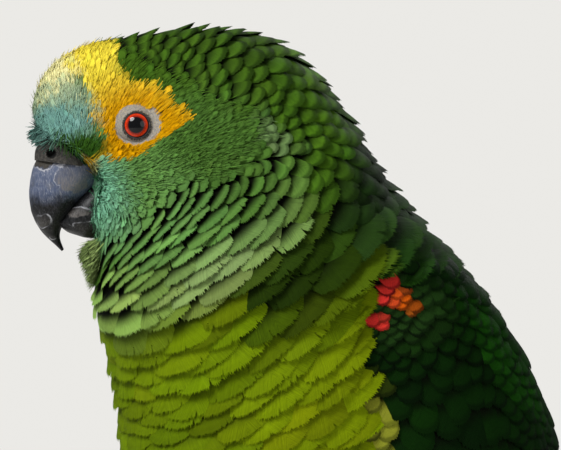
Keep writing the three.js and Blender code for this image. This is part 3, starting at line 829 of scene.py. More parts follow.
class ParrotColours(bpy.types.PropertyGroup):
    """Colours of the plumage, the bare parts, the stand and the floor"""

    forehead: colour_property("the forehead", 108, 152, 142)
    forehead_pale: colour_property("the paler forehead", 146, 168, 138)
    pale: colour_property("the brow", 226, 219, 156)
    yellow: colour_property("the yellow forehead", 228, 208, 62)
    amber: colour_property("the yellow round the eye", 202, 146, 0)
    lores: colour_property("the lores", 46, 80, 22)
    teal: colour_property("the cheek by the bill", 120, 180, 148)
    cheek: colour_property("the cheek", 94, 136, 68)
    ear: colour_property("the ear coverts", 72, 108, 42)
    cap: colour_property("the green cap", 62, 93, 22)
    nape: colour_property("the nape", 68, 106, 21)
    neck_side: colour_property("the side of the neck", 84, 102, 42)
    # A painted sheen colour for the side of the neck.
    bloom: colour_property("the bloom on the neck", 122, 142, 86)
    # A painted shadow colour, for the shade under the ruff's edge.
    hollow: colour_property("the hollow behind the ruff", 28, 44, 4)
    throat: colour_property("the throat", 118, 146, 72)
    breast: colour_property("the breast", 86, 106, 4)
    flank: colour_property("the flank", 108, 126, 4)
    # The mantle's green, darkened as painted shade.
    mantle: colour_property("the mantle", 28, 50, 16)
    rump: colour_property("the rump", 70, 104, 16)
    vent: colour_property("the vent", 134, 148, 24)
    thigh: colour_property("the thighs", 126, 140, 22)
    # The wing's green, darkened as painted shade; the lit coverts' colour that follows is painted light.
    wing: colour_property("the wing", 8, 34, 2)
    wing_light: colour_property("the wing's lit coverts", 20, 66, 6)
    wing_bend: colour_property("the bend of the wing", 34, 62, 22)
    wing_edge: colour_property("the wing's front edge", 134, 138, 40)
    shoulder_red: colour_property("the red on the shoulder", 214, 50, 44)
    shoulder_orange: colour_property("the orange on the shoulder", 224, 96, 14)
    secondary: colour_property("the secondaries", 26, 70, 34)
    primary: colour_property("the primaries", 22, 36, 62)
    speculum: colour_property("the speculum", 176, 38, 30)
    tail: colour_property("the tail", 52, 104, 26)
    tail_tip: colour_property("the tail's tip", 140, 160, 44)
    # The feathers' dark grey bases, darkened further as painted shade in the gaps between rows.
    down: colour_property("the feathers' bases", 8, 11, 4)
    skin: colour_property("the skin", 12, 15, 7)
    # The bill's grey horn, with a blue tint that is a painted reflection.
    bill: colour_property("the bill", 74, 84, 108)
    bill_dark: colour_property("the bill's tip", 8, 9, 11)
    bill_worn: colour_property("the worn horn", 118, 112, 108)
    bill_flake: colour_property("the bill's flakes", 176, 176, 182)
    cere: colour_property("the cere", 70, 65, 58)
    iris: colour_property("the iris", 206, 52, 14)
    iris_inner: colour_property("the inner iris", 120, 24, 8)
    lid: colour_property("the lid's edge", 17, 15, 14)
    eye_ring: colour_property("the bare ring", 176, 166, 146)
    foot: colour_property("the feet", 120, 116, 108)
    claw: colour_property("the claws", 38, 36, 36)
    bark: colour_property("the bark", 124, 98, 70)
    base_wood: colour_property("the base", 66, 44, 30)
    steel: colour_property("the rods", 182, 184, 186)
    floor: colour_property("the floor", 222, 220, 216)


class ParrotSizes(bpy.types.PropertyGroup):
    """Sizes that change the coat and the eyes"""

    face_depth: length_property("Face coat", "Depth of the coat of feathers on the face", 1.3, 0.5, 4)
    neck_depth: length_property("Neck coat", "Depth of the coat of feathers on the neck", 5.5, 1, 9)
    body_depth: length_property("Body coat", "Depth of the coat of feathers on the body", 5.5, 1, 9)
    barb_pitch: length_property("Barb pitch", "Distance between the barb lines of a vane", 0.62, 0.2, 2)
    lid_opening: length_property("Lid opening", "Radius of the opening between the lids", 3.65, 3, 5)
    pupil: length_property("Pupil", "Radius of the pupil", 2.36, 1, 3.4)
    iris: length_property("Iris", "Radius of the iris", 3.42, 2, 4.5)
    ruffle: FloatProperty(
        name="Ruffle", description="How far the neck feathers stand out, 0 for sleek", default=1.0, min=0, max=2
    )
    seed: IntProperty(name="Seed", description="Picks another lie of the same feathers", default=7, min=0)


class Palette:
    """The colours as arrays, for painting."""

    def __init__(self, colours):
        for key in ParrotColours.__annotations__:
            setattr(self, key, np.array(getattr(colours, key)[:]))


class Sizes:
    """The sizes with their lengths in millimetres."""

    def __init__(self, sizes):
        for key in ParrotSizes.__annotations__:
            value = getattr(sizes, key)
            is_length = sizes.bl_rna.properties[key].unit == "LENGTH"
            setattr(self, key, round(value / MM, 4) if is_length else value)


# Materials


def joining(operation, turned=False):
    """A method that joins a value and another through a Math node."""
    return lambda self, other: self.graph.math(operation, *((other, self) if turned else (self, other)))


class Value:
    """A number that changes over a surface. The usual operators add the nodes that work it out."""

    __add__, __radd__ = joining("ADD"), joining("ADD", True)
    __sub__, __rsub__ = joining("SUBTRACT"), joining("SUBTRACT", True)
    __mul__, __rmul__ = joining("MULTIPLY"), joining("MULTIPLY", True)
    __truediv__, __rtruediv__ = joining("DIVIDE"), joining("DIVIDE", True)

    def __init__(self, graph, socket):
        self.graph, self.socket = graph, socket


class Graph:
    """Short ways to add nodes to a tree."""

    def __init__(self, tree):
        self.tree = tree

    def add(self, kind, inputs=None, **settings):
        node = self.tree.nodes.new(kind)
        for key, value in settings.items():
            setattr(node, key, value)
        for key, value in (inputs or {}).items():
            self.set(node.inputs[key], value)
        return node

    def set(self, socket, value):
        value = getattr(value, "socket", value)
        if isinstance(value, bpy.types.NodeSocket):
            self.tree.links.new(value, socket)
        elif socket.type == "RGBA" and len(value) == 3:
            socket.default_value = (*value, 1)
        else:
            socket.default_value = value

    def math(self, operation, *values):
        node = self.add("ShaderNodeMath", dict(enumerate(values)), operation=operation)
        return Value(self, node.outputs[0])

    def distance(self, x, y):
        return self.math("SQRT", x * x + y * y)

    def ramp(self, value, low, high, to_low=0.0, to_high=1.0):
        """A smooth step from one value to another while the given one goes from low to high."""
        inputs = {"Value": value, "From Min": low, "From Max": high, "To Min": to_low, "To Max": to_high}
        node = self.add("ShaderNodeMapRange", inputs, interpolation_type="SMOOTHSTEP")
        return Value(self, node.outputs["Result"])

    def mix(self, factor, a, b, blend="MIX"):
        node = self.add("ShaderNodeMix", data_type="RGBA", blend_type=blend, clamp_factor=True)
        for socket, value in ((node.inputs[0], factor), (node.inputs[6], a), (node.inputs[7], b)):
            self.set(socket, value)
        return node.outputs[2]

    def times(self, colour, by):
        return self.mix(1.0, colour, by, "MULTIPLY")

    def shade(self, colour, tone):
        return self.times(colour, self.vector(tone, tone, tone))

    def attribute(self, name, output="Vector"):
        return self.add("ShaderNodeAttribute", attribute_name=name).outputs[output]

    def place(self):
        return self.add("ShaderNodeTexCoord").outputs["Object"]

    def parts(self, vector):
        return [Value(self, part) for part in self.add("ShaderNodeSeparateXYZ", {0: vector}).outputs]

    def vector(self, x, y, z):
        return self.add("ShaderNodeCombineXYZ", {0: x, 1: y, 2: z}).outputs[0]

    def on_ring(self, turn, radius, z):
        """A place on a ring, so that a pattern closes up round it."""
        return self.vector(self.math("COSINE", turn) * radius, self.math("SINE", turn) * radius, z)

    def noise(self, vector, scale, detail=2.0, roughness=0.5):
        inputs = {"Vector": vector, "Scale": scale, "Detail": detail, "Roughness": roughness}
        return Value(self, self.add("ShaderNodeTexNoise", inputs).outputs["Fac"])

    def voronoi(self, vector, scale, feature="F1"):
        inputs = {"Vector": vector, "Scale": scale}
        return Value(self, self.add("ShaderNodeTexVoronoi", inputs, feature=feature).outputs["Distance"])


FLOAT, COLOUR = "NodeSocketFloat", "NodeSocketColor"


def shared_group(name, inputs, outputs, build):
    """A node group made once and used by several materials."""
    if name in bpy.data.node_groups:
        return bpy.data.node_groups[name]
    tree = bpy.data.node_groups.new(name, "ShaderNodeTree")
    for key, default in inputs.items():
        tree.interface.new_socket(name=key, in_out="INPUT", socket_type=FLOAT).default_value = default
    for key, kind in outputs.items():
        tree.interface.new_socket(name=key, in_out="OUTPUT", socket_type=kind)
    graph = Graph(tree)
    source = tree.nodes.new("NodeGroupInput")
    sink = tree.nodes.new("NodeGroupOutput")
    given = {key: Value(graph, source.outputs[key]) for key in inputs}
    for key, value in build(graph, given).items():
        graph.set(sink.inputs[key], value)
    return tree


def surface(name, build, bump=0.3, distance=0.0003, **settings):
    """A material whose build function returns values for the shader's sockets, with Height for the bump."""
    made = bpy.data.materials.new(name)
    made.use_nodes = True
    graph = Graph(made.node_tree)
    shader = made.node_tree.nodes["Principled BSDF"]
    values = build(graph)
    height = values.pop("Height", None)
    for key, value in {**settings, **values}.items():
        graph.set(shader.inputs[key], value)
    if height is not None:
        relief = graph.add("ShaderNodeBump", {"Height": height, "Strength": bump, "Distance": distance})
        graph.set(shader.inputs["Normal"], relief.outputs[0])
    return made


# LIT_BARBS is a painted highlight on the barbs.
LIT_BARBS, DARK_RIM, PALE_RIM = (1.5, 1.4, 0.8), (0.10, 0.12, 0.14), (2.6, 2.3, 2.0)  # times the plumage
BARB_INPUTS = {"Pitch": 0.6, "Contrast": 0.6, "Root Low": 0.3, "Root High": 0.75, "Slant": 1.15}


def barb_group(down):
    """Barbs, shaft, dark root and edge of a vane, from its own measures in millimetres. The dark root is partly the
    feathers' dark bases and partly painted shade between rows.
    """

    def build(g, inputs):
        across, along, tone = g.parts(g.attribute("vane"))
        edge, raw, margin = g.parts(g.attribute("finish"))
        width = g.math("ABSOLUTE", across)
        line = along - width * inputs["Slant"]
        seed = tone * 37.0
        wander = g.noise(g.vector(width * 0.5, line, seed), 1.3)
        line = line + wander * 0.7
        wave = g.math("SINE", line * (2 * math.pi / inputs["Pitch"]))
        streak = g.noise(g.vector(width * 0.25, line * 2.2, seed), 1.0, 3.0, 0.6)
        comb = wave * 0.22 + streak * 1.1
        comb = comb - 0.55
        light = 1.0 + comb * inputs["Contrast"]
        plumage = g.attribute("plumage", "Color")
        colour = g.shade(plumage, light + (tone - 0.5) * 0.30)
        # A painted highlight along the lit barbs.
        barb_highlight = g.ramp(comb, 0.0, 0.5) * 0.18
        colour = g.mix(barb_highlight, colour, g.times(plumage, LIT_BARBS))
        # The feathers' dark bases, darkened further as painted shade in the gaps between rows.
        root = g.ramp(raw, inputs["Root Low"], inputs["Root High"], 1.0, 0.0)
        colour = g.mix(root, colour, down)
        tip = g.ramp(raw + streak * 0.16, 0.93, 1.03)
        side = g.ramp(edge + streak * 0.2, 0.95, 1.1)
        rim = g.math("MAXIMUM", tip, side * 0.7) * margin
        colour = g.mix(rim, colour, g.times(plumage, DARK_RIM))
        colour = g.mix(rim * -1.0, colour, g.times(plumage, PALE_RIM))  # where the margin is less than 0
        return {"Colour": colour, "Height": comb}

    return shared_group("Barbs", BARB_INPUTS, {"Colour": COLOUR, "Height": FLOAT}, build)


# The dark root is partly the feathers' dark bases and partly painted shade between rows.
PLUMAGE = {  # barb pitch, contrast, where the dark root begins and ends to fade, roughness, relief and barbs' slant
    "Face feathers": (0.5, 0.3, -0.6, -0.5, 0.75, 0.2, 4.0),
    "Cap feathers": (0.8, 0.7, 0.46, 0.9, 0.7, 0.4, 1.15),
    "Ruff feathers": (0.8, 0.95, 0.52, 0.95, 0.7, 0.6, 2.0),
    "Neck feathers": (0.9, 0.95, 0.4, 0.88, 0.7, 0.6, 2.0),
    "Body feathers": (1.0, 0.75, 0.3, 0.74, 0.7, 0.5, 2.0),
    "Thigh feathers": (1.0, 0.5, 0.3, 0.62, 0.68, 0.4, 1.15),
    "Wing feathers": (1.1, 0.5, 0.3, 0.66, 0.6, 0.35, 1.15),
    "Flight feathers": (0.9, 0.4, -0.5, -0.4, 0.55, 0.3, 1.15),
    "Tail feathers": (0.9, 0.4, -0.5, -0.4, 0.5, 0.3, 1.15),
}


def plumage_material(name, sizes, palette):
    """Barbed vanes, dark toward their roots, partly from their dark bases and partly from painted shade between
    rows.
    """
    pitch, contrast, root_low, root_high, roughness, relief, slant = PLUMAGE[name]

    def build(g):
        barbs = g.add("ShaderNodeGroup", node_tree=barb_group(palette.down))
        inputs = (sizes.barb_pitch * pitch, contrast, root_low, root_high, slant)
        for key, value in zip(BARB_INPUTS, inputs):
            g.set(barbs.inputs[key], value)
        return {"Base Color": barbs.outputs["Colour"], "Height": barbs.outputs["Height"]}

    return surface(name, build, relief, 0.00025, **{"Roughness": roughness, "Specular IOR Level": 0.03})


# Skin and coat


FACE_MIDDLE = (-30.0, 315.0)  # the fine feathers lie round this place, seen from the side
FACE_REACH = (  # degrees up from straight back, and how far the fine feathers reach that way
    (-180, -110, -90, -70, -45, -20, 0, 15, 30, 60, 90, 125, 180),
    (34, 33, 29, 22, 21, 30, 36, 33, 24, 22, 25, 60, 60),
)
HAIR_FROM = (-43.0, 304.0)  # the face's fine feathers point away from here
PAST_STOPS = (-40, -15, -4, 2, 10, 20, 32, 45, 70, 110, 200)
EXPOSURE = {
    "ruff": (1.3, 1.5, 1.7, 1.9, 2.3, 3.2, 4.0, 4.5, 4.5, 5.6, 7.2),
    "nape": (1.3, 1.5, 1.8, 2.5, 3.2, 3.9, 4.5, 5.2, 6.2, 7.0, 8.0),
}
SPACING = {
    "ruff": (1.4, 1.6, 2.8, 8.0, 12.0, 13.5, 13.0, 11.5, 10.0, 9.5, 9.5),
    "nape": (1.4, 1.7, 2.8, 4.2, 6.2, 8.0, 9.0, 9.8, 10.2, 10.2, 10.0),
}
EYE_OVAL = (6.5, 5.7, 24.0)  # half length, half height and tilt of the bare ring
BESIDE_EYE = 12.0  # how far out the side of the face by the eye begins
WING_FROM = 8.5  # section where the wings begin
SHOWN_SHARE = 0.82  # how far down a feather the middle of what shows of it is


def from_face(section, angle):
    """How far a place lies past the edge of the fine face feathers, and how much it belongs to the nape."""
    points, _, u, *_ = BODY.read(section, angle)
    du, dz = u - FACE_MIDDLE[0], points[..., 2] - FACE_MIDDLE[1]
    up = np.degrees(np.arctan2(dz, du))
    past = np.hypot(du, dz) - np.interp(up, *FACE_REACH)
    return past, smoothstep(up, -38, 0) * (1 - smoothstep(np.abs(up), 150, 175))


def past_face(section, angle):
    return from_face(section, angle)[0]


def by_region(table, section, angle):
    past, nape = from_face(section, angle)
    ruff, on_nape = (np.interp(past, PAST_STOPS, table[key]) for key in ("ruff", "nape"))
    return ruff * (1 - nape) + on_nape * nape


def exposure(section, angle):
    """Millimetres between rows."""
    return by_region(EXPOSURE, section, angle)


def spacing(section, angle):
    """Millimetres between the feathers of a row."""
    return by_region(SPACING, section, angle)


def hair_way(section, angle, way):
    """Turns the ways of fine face feathers so that they point away from the corner of the bill."""
    points, normals, down, around, lean = grid_ways(BODY, section, angle)
    u = profile(BODY, section, angle)[0]
    beside = (around - lean[:, None] * down) / np.sqrt(1 - lean**2)[:, None]
    goal = unit(np.stack([u - HAIR_FROM[0], 0 * u, points[..., 2] - HAIR_FROM[1]], -1))
    goal = goal - (goal * normals).sum(-1, keepdims=True) * normals
    hair = np.clip(np.arctan2((goal * beside).sum(-1), (goal * down).sum(-1)), -1.2, 1.2)
    share = (1 - smoothstep(past_face(section, angle), -6, 5)) * smoothstep(np.abs(normals[..., 1]), 0.35, 0.75)
    return way + (hair - way) * share


def coat_depth(section, sizes):
    places = (0, 3, 5, 7.5, 9, 17, 21)
    face, neck, body = sizes.face_depth, sizes.neck_depth, sizes.body_depth
    return np.interp(section, places, (face, face, face * 1.5, neck * 0.85, neck, body, body * 0.6))


def in_eye_ring(u, z):
    """Distance from the middle of the bare ring as a share of the way to its edge."""
    return oval_distance(u, z, EYE_U - 0.6, EYE_Z, *EYE_OVAL)


def profile(form, section, angle):
    points, _, u, v, _, _ = form.read(section, angle)
    return u, points[..., 2], v


def bare_face(u, z, v, half_width, low, high, ring):
    """Where the bill and the bare ring leave no room for roots."""
    bill = (np.abs(v) < half_width) & (z > low) & (z < high) & (u < -30)
    return bill | (in_eye_ring(u, z) < ring) & (np.abs(v) > BESIDE_EYE)


def body_roots(start, end, rng):
    """Roots over the head and body, clear of the bill, the bare ring and what shows of the wings."""
    roots = lay_rows(BODY, start, end, exposure, spacing, rng, row_line)
    section, angle = roots[:2]
    u, z, v = profile(BODY, section, angle)
    wing = (section > WING_FROM) & (np.abs(v) > 20) & (beyond_loop(WING_SHOWS, u, z) < -1.0)
    return roots[:, ~bare_face(u, z, v, 9.6, 285.2, 316.2, 0.88) & ~wing]


def visible_place(form, section, angle, length, way, share=SHOWN_SHARE):
    """Profile place, section and angle of the part of each feather that shows."""
    lean = grid_ways(form, section, angle)[4]
    down, beside = drift(way, lean, length * share, 0.0)
    seen = form.travel(section, angle, down[:, None])[:, 0]
    scale = np.maximum(form.read(seen, angle)[4], 2.0)
    around = angle + beside / scale
    u, z, _ = profile(form, seen, around)
    return u, z, seen, around


def clear_of_eye(section, angle, way, length):
    """Lengths cut short where feathers would cover the bare ring, 0 where none of a feather is clear."""
    shares = np.linspace(0.15, 1.0, 10)
    beside = (np.abs(BODY.read(section, angle)[3]) > BESIDE_EYE) & (section < 8)
    reach = np.where(beside, 0.0, 1.0)
    free_so_far = np.ones(len(section), bool)
    for share in shares:
        u, z, *_ = visible_place(BODY, section, angle, length, way, share)
        ring = in_eye_ring(u, z)
        free_so_far &= (ring > 0.95) | (share * length < 0.9) & (ring > 0.86)
        reach = np.where(beside & free_so_far, share, reach)
    return np.where(length * reach < 0.95, 0.0, length * reach)


def clear_of_wing(section, angle, way, length):
    """Lengths cut short where feathers would cover the wing, and how far each tip then is from what shows."""
    shares = np.linspace(0.1, 1.0, 16)
    beside = (np.abs(BODY.read(section, angle)[3]) > 14) & (section > WING_FROM)
    reach = np.full(len(section), shares[0])
    away = np.full(len(section), 99.0)
    for share in shares:
        u, z, *_ = visible_place(BODY, section, angle, length, way, share)
        gap = np.where(beside, beyond_loop(WING_SHOWS, u, z), 99.0)
        free = gap > -0.8
        reach = np.where(free, share, reach)
        away = np.where(free, gap, away)
    return np.maximum(length * reach, np.minimum(length, 4.5)), away


PAST_PLACES = (-12, -2, 3, 12, 30, 50, 80)  # millimetres past the edge of the fine face feathers
COAT_LOOK = {  # what the feathers are like at those places
    "swept": (0, 0, 0.5, 1, 1, 0.3, 0),
    "length": (3.2, 3.4, 3.8, 4.6, 4.2, 3.6, 3.2),
    "width": (0.5, 0.56, 0.66, 0.86, 0.88, 0.86, 0.84),
    "nape_width": (0.5, 0.66, 0.76, 0.74, 0.74, 0.78, 0.8),
    "rounding": (0.75, 0.42, 0.26, 0.17, 0.2, 0.26, 0.28),
    "nape_rounding": (0.75, 0.5, 0.4, 0.34, 0.3, 0.3, 0.28),
    "ruff": (0, 0, 0.35, 0.9, 1, 0.35, 0),
    "scatter": (0.5, 0.7, 1.0, 1.2, 1.5, 1.8, 2.0),
    # painted highlight on the tips of the feathers
    "tip_highlight": (0, 0, 0.3, 0.6, 0.5, 0.2, 0.08),
    "margin": (0, 0.3, 0.3, 0.15, 0.1, 0.15, 0.2),
    "lift": (0, 0.1, 0.5, 0.5, 0.45, 0.35, 0.35),
    "loose": (1.2, 0.8, 0.3, 0, 0, 0, 0),
    "curl": (0, 0, 0.5, 1, 1, 0.8, 0.6),
    "cup": (0.05, 0.15, 0.2, 0.1, 0.08, 0.08, 0.1),
    "fringe": (0.5, 0.5, 0.6, 1.0, 1.2, 0.9, 0.9),
    "scaled": (0, 0.7, 1, 1, 1, 0.8, 0.4),
    "scale_lift": (0.2, 0.4, 0.8, 1.2, 1.6, 1.1, 0.5),
    "scale_curl": (0.1, 0.3, 0.5, 0.6, 0.7, 0.5, 0.3),
}
DARKEST = 0.0005


def body_flock(roots, rng, sizes, palette):
    """Feathers of the head and body, measured and painted by where they grow."""
    section, angle, index, step, way = roots
    n = len(section)
    past, nape = from_face(section, angle)
    look = {key: np.interp(past, PAST_PLACES, values) for key, values in COAT_LOOK.items()}
    off_nape = 1 - nape
    way = hair_way(section, angle, way)
    off_belly = smoothstep(np.pi - np.abs(angle), 0.1, 0.7)
    way = way - np.sign(angle) * 0.12 * off_nape * look["swept"] * off_belly
    length = np.clip(step, 0.8, 9) * look["length"] * rng.uniform(0.92, 1.08, n)
    length, wing_gap = clear_of_wing(section, angle, way, length)
    length = clear_of_eye(section, angle, way, length)
    shown = length > 0
    length = np.maximum(length, 1.0)
    half = spacing(section, angle) * (look["width"] * off_nape + look["nape_width"] * nape)
    half = half * rng.uniform(0.93, 1.07, n)
    u, z, seen, around = visible_place(BODY, section, angle, length, way)
    root_u, root_z, root_v = profile(BODY, section, angle)
    eye = np.where(np.abs(root_v) > BESIDE_EYE, in_eye_ring(root_u, root_z), 9)
    off_eye = smoothstep(eye, 1.0, 1.7)
    group = np.sin(index * 2.4 + angle * 1.3) + 0.6 * np.sin(index * 1.1 - angle * 2.3)
    ruffle = sizes.ruffle * look["ruff"] * np.clip(1.3 + 0.5 * group - 0.9 * nape, 0.2, 3.0)
    colour = body_markings(u, z, seen, around, palette, rng.normal(0, 1, n) * look["scatter"])
    uneven = 1 - 0.8 * softness(root_u, root_z)
    shade = 1 + rng.normal(0, 0.11, n) * uneven + 0.04 * np.sin(index * 1.9)
    colour = colour * shade[:, None] * (1 + rng.normal(0, 0.03, (n, 3)))
    # Painted highlight: the tips of the ruff and neck feathers are brightened.
    tip_highlight = 1 + look["tip_highlight"] * off_nape
    scaled = nape * look["scaled"]
    margin = look["margin"] * (0.6 + 0.4 * rng.random(n))
    margin = np.maximum(margin, scaled * 0.85 * (0.7 + 0.3 * rng.random(n)))
    shoulder = smoothstep(wing_gap, 34, 16) * (np.cos(angle) > 0.25)
    margin = np.where(shoulder > 0.3, -0.4 * shoulder, margin)
    lift = look["lift"] + scaled * look["scale_lift"] * rng.uniform(0.55, 1.7, n) + ruffle + rng.normal(0, 0.06, n)
    lift = lift + rng.random(n) ** 6 * look["loose"] * off_eye
    lift = lift + smoothstep(wing_gap, 22, 3) * (1.0 + 4.4 * smoothstep(np.cos(angle), -0.3, 0.3))
    flock = Flock(
        n,
        rng,
        np.clip(colour, DARKEST, 1),
        np.clip(colour * tip_highlight[:, None], DARKEST, 1),
        section=section,
        angle=angle,
        way=way,
        length=length,
        half_width=np.minimum(half, length * 0.75),
        depth=coat_depth(section, sizes) * 0.86 * (0.3 + 0.7 * off_eye),
        lift=lift,
        curl=scaled * look["scale_curl"] + 0.25 * off_nape * look["curl"],
        cup=look["cup"] * (1 + 0.8 * scaled),
        twist=rng.normal(0, 0.03, n) + np.sign(angle) * (0.1 * scaled + 0.04 * look["ruff"]),
        sweep=rng.normal(0, 0.08, n) * half,
        rounding=look["nape_rounding"] * nape + look["rounding"] * off_nape,
        fringe=look["fringe"] * (1 - 0.5 * nape),
        margin=margin,
    )
    return flock.where(shown)


def smoothed(made, size, rounds=6):
    """The object's closed forms run together to one even surface."""
    remesh = made.modifiers.new("One surface", "REMESH")
    remesh.mode, remesh.voxel_size, remesh.use_smooth_shade = "VOXEL", size * MM, True
    ease = made.modifiers.new("Ease", "SMOOTH")
    ease.factor, ease.iterations = 0.5, rounds
    evaluated = made.evaluated_get(bpy.context.evaluated_depsgraph_get())
    mesh = bpy.data.meshes.new_from_object(evaluated)
    made.modifiers.clear()
    made.data = mesh
    return made


def sunk_tube(name, form, depth, around=120, every=6):
    """A closed tube that lies at a depth inside a form."""
    sections = form.sections[::every]
    angles = np.linspace(-math.pi, math.pi, around, endpoint=False)
    points, normals, *_ = form.read(sections[:, None], angles[None])
    points = points - normals * depth(sections)[:, None, None]
    return tube_mesh(name, points)


def skin_piece(sizes, palette):
    parts = [sunk_tube("skin", BODY, lambda s: coat_depth(s, sizes))]
    parts += [sunk_tube("thigh", form, lambda s: np.interp(s, (0, 4), (2.6, 1.2))) for form in THIGHS.values()]
    made = smoothed(joined("skin", parts), 1.5)
    made.data.name = "skin"
    count = len(made.data.vertices)
    points = np.empty(count * 3, np.float32)
    made.data.vertices.foreach_get("co", points)
    points = points.reshape(-1, 3) / MM
    sections, angles = BODY.sections[::4], BODY.angles[:-1:3]
    table = BODY.read(sections[:, None], angles[None])[0]
    found = nearest(table.reshape(-1, 3), points)
    section, angle = sections[found // len(angles)], angles[found % len(angles)]
    u, z, _ = profile(BODY, section, angle)
    colour = body_markings(u, z, section, angle, palette)
    bare = np.interp(past_face(section, angle), (-12, -2, 8), (0.8, 0.5, 0.1))[:, None]
    add_attribute(made, "plumage", "FLOAT_COLOR", palette.skin * (1 - bare) + colour * bare)

    def build(g):
        place = g.place()
        pimples = g.voronoi(place, 1100.0)
        folds = g.noise(place, 420.0, 4.0, 0.6)
        height = pimples * -1.0 + folds * 0.8
        colour = g.mix(g.ramp(folds, 0.35, 0.7), (0.5, 0.5, 0.45), (1.2, 1.15, 1.1))
        return {"Base Color": g.times(g.attribute("plumage", "Color"), colour), "Height": height}

    material = surface("Skin", build, 0.5, 0.0003, Roughness=0.75)
    return finish_piece(made, material, ("head", "neck", "trunk", "thigh_left", "thigh_right"))


COAT_BANDS = (  # name, from and to past the face, nape or not, columns and rows of a vane, slot, material, softening
    ("face", -99, -1.5, None, 4, 5, "face_feathers", "Face feathers", 0.9),
    ("cap", -1.5, 14, True, 14, 7, "neck_feathers", "Cap feathers", 0.1),
    ("nape", 14, 52, True, 20, 7, "neck_feathers", "Cap feathers", 0.1),
    ("blades", -1.5, 18, False, 30, 7, "neck_feathers", "Ruff feathers", 0.1),
    ("ruff", 18, 52, False, 40, 8, "neck_feathers", "Neck feathers", 0.1),
    ("breast", 52, 92, None, 30, 8, "body_feathers", "Body feathers", 0.4),
    ("belly", 92, 999, None, 24, 8, "body_feathers", "Body feathers", 0.4),
)


def on_side(angle, sign):
    return np.sign(angle + 1e-9) == sign


def body_coat(sizes, palette):
    rng = np.random.default_rng(sizes.seed)
    flock = body_flock(body_roots(0.12, 20.2, rng), rng, sizes, palette)
    looks = dict.fromkeys(band[7] for band in COAT_BANDS)
    materials = {look: plumage_material(look, sizes, palette) for look in looks}
    past, nape = from_face(flock.section, flock.angle)
    for name, start, end, on_nape, columns, rows, slot, look, soften in COAT_BANDS:
        for side, sign in SIDES.items():
            here = (past >= start) & (past < end) & on_side(flock.angle, sign)
            if on_nape is not None:
                here &= (nape > 0.5) == on_nape
            made = grow(f"coat_{name}_{side}", flock.where(here), lie_on(BODY), columns, rows, rng, soften=soften)
            finish_piece(made, materials[look])
    wisps(sizes, palette, materials["Face feathers"])
    rng = np.random.default_rng(sizes.seed + 2)
    bristles(rng, palette, materials["Face feathers"])
    chin_tuft(rng, palette, materials["Face feathers"])


def wisps(sizes, palette, material):
    """Fine loose barbs over the forehead, lores and cheeks."""
    rng = np.random.default_rng(sizes.seed + 1)
    closer = lambda table, share: lambda section, angle: table(section, angle) * share
    for index in range(2):
        start = 0.1 + 0.07 * index
        roots = lay_rows(BODY, start, 8.6, closer(exposure, 0.66), closer(spacing, 0.27), rng, row_line, 0.4)
        section, angle, _, _, way = roots
        past = past_face(section, angle)
        u, z, v = profile(BODY, section, angle)
        reach = np.where(z > FACE_MIDDLE[1], 0.5, -3.0) + rng.normal(0, 1.0, len(section))
        keep = ~bare_face(u, z, v, 9.3, 282, 315.8, 0.92) & (past < reach)
        section, angle, past = section[keep], angle[keep], past[keep]
        n = len(section)
        way = hair_way(section, angle, way[keep]) + rng.normal(0, 0.13, n)
        length = np.maximum(exposure(section, angle), 1.4) * rng.uniform(1.7, 2.7, n)
        length = clear_of_eye(section, angle, way, length)
        shown = length > 0
        length = np.maximum(length, 1.0)
        seen_u, seen_z, seen, around = visible_place(BODY, section, angle, length, way)
        root_u, root_z, root_v = profile(BODY, section, angle)
        soft = softness(root_u, root_z)
        beside = np.abs(root_v) > BESIDE_EYE
        near = np.where(beside, 1 - smoothstep(in_eye_ring(root_u, root_z), 1.0, 1.6), 0)
        colour = body_markings(seen_u, seen_z, seen, around, palette, rng.normal(0, 0.6, n))
        colour = colour * (1.02 + rng.normal(0, 0.2, n) * (1 - 0.65 * soft))[:, None]
        rim = 1 - smoothstep(section, 0.2, 0.9)
        half_width = rng.uniform(0.05, 0.12, n)
        lift = 0.12 + rng.random(n) ** 3 * 0.45 * (1 - 0.7 * soft) + rim * rng.uniform(0.1, 0.7, n)
        lift = lift + rng.random(n) ** 8 * 1.6 * (1 - near)
        flock = Flock(
            n,
            rng,
            np.clip(colour, DARKEST, 1),
            section=section,
            angle=angle,
            way=way,
            length=length,
            half_width=half_width,
            depth=0.5 - 0.2 * near,
            lift=lift,
            base=0.06,
            cup=0.1,
            sweep=rng.normal(0, 0.3, n),
            rounding=0.85,
            fringe=0.2,
        )
        for side, sign in SIDES.items():
            half = flock.where(shown & on_side(flock.angle, sign))
            made = grow(f"coat_wisps_{index}_{side}", half, lie_on(BODY), 2, 4, rng, barrel=0.3, soften=0.85)
            finish_piece(made, material)


def standing_barbs(name, section, angle, forward, length, half_width, colour, rng, material):
    """Barbs that stand up from the skin and point their own way."""
    roots, normals, *_ = BODY.read(section, angle)
    n = len(section)
    heading = unit(forward + normals * rng.uniform(0.3, 0.8, n)[:, None])
    beside = unit(np.cross(heading, normals))
    colour = np.clip(colour * rng.uniform(0.5, 1.3, n)[:, None], DARKEST, 1)
    measures = {"section": section, "angle": angle, "length": length, "half_width": half_width}
    flock = Flock(n, rng, colour, rounding=0.9, fringe=0.2, **measures)

    def place(flock, along_mm, across_mm):
        share = along_mm / flock.length[:, None]
        points = (roots - normals * 0.4)[:, None] + heading[:, None] * along_mm[..., None]
        points = points + beside[:, None] * across_mm[..., None]
        points[..., 2] -= 0.15 * share**2 * flock.length[:, None]
        return points, np.broadcast_to(unit(np.cross(beside, heading))[:, None], points.shape)

    made = grow(name, flock, place, 2, 5, rng, barrel=0.3)
    finish_piece(made, material)


def stray(rng, n, *ways):
    """A direction for each of n barbs, strayed a little from the given one."""
    return np.stack([way + rng.normal(0, 0.25, n) for way in ways], -1)


TRIED_BRISTLES, TRIED_TUFT = 2400, 2600  # places tried, of which those in the right spot are kept


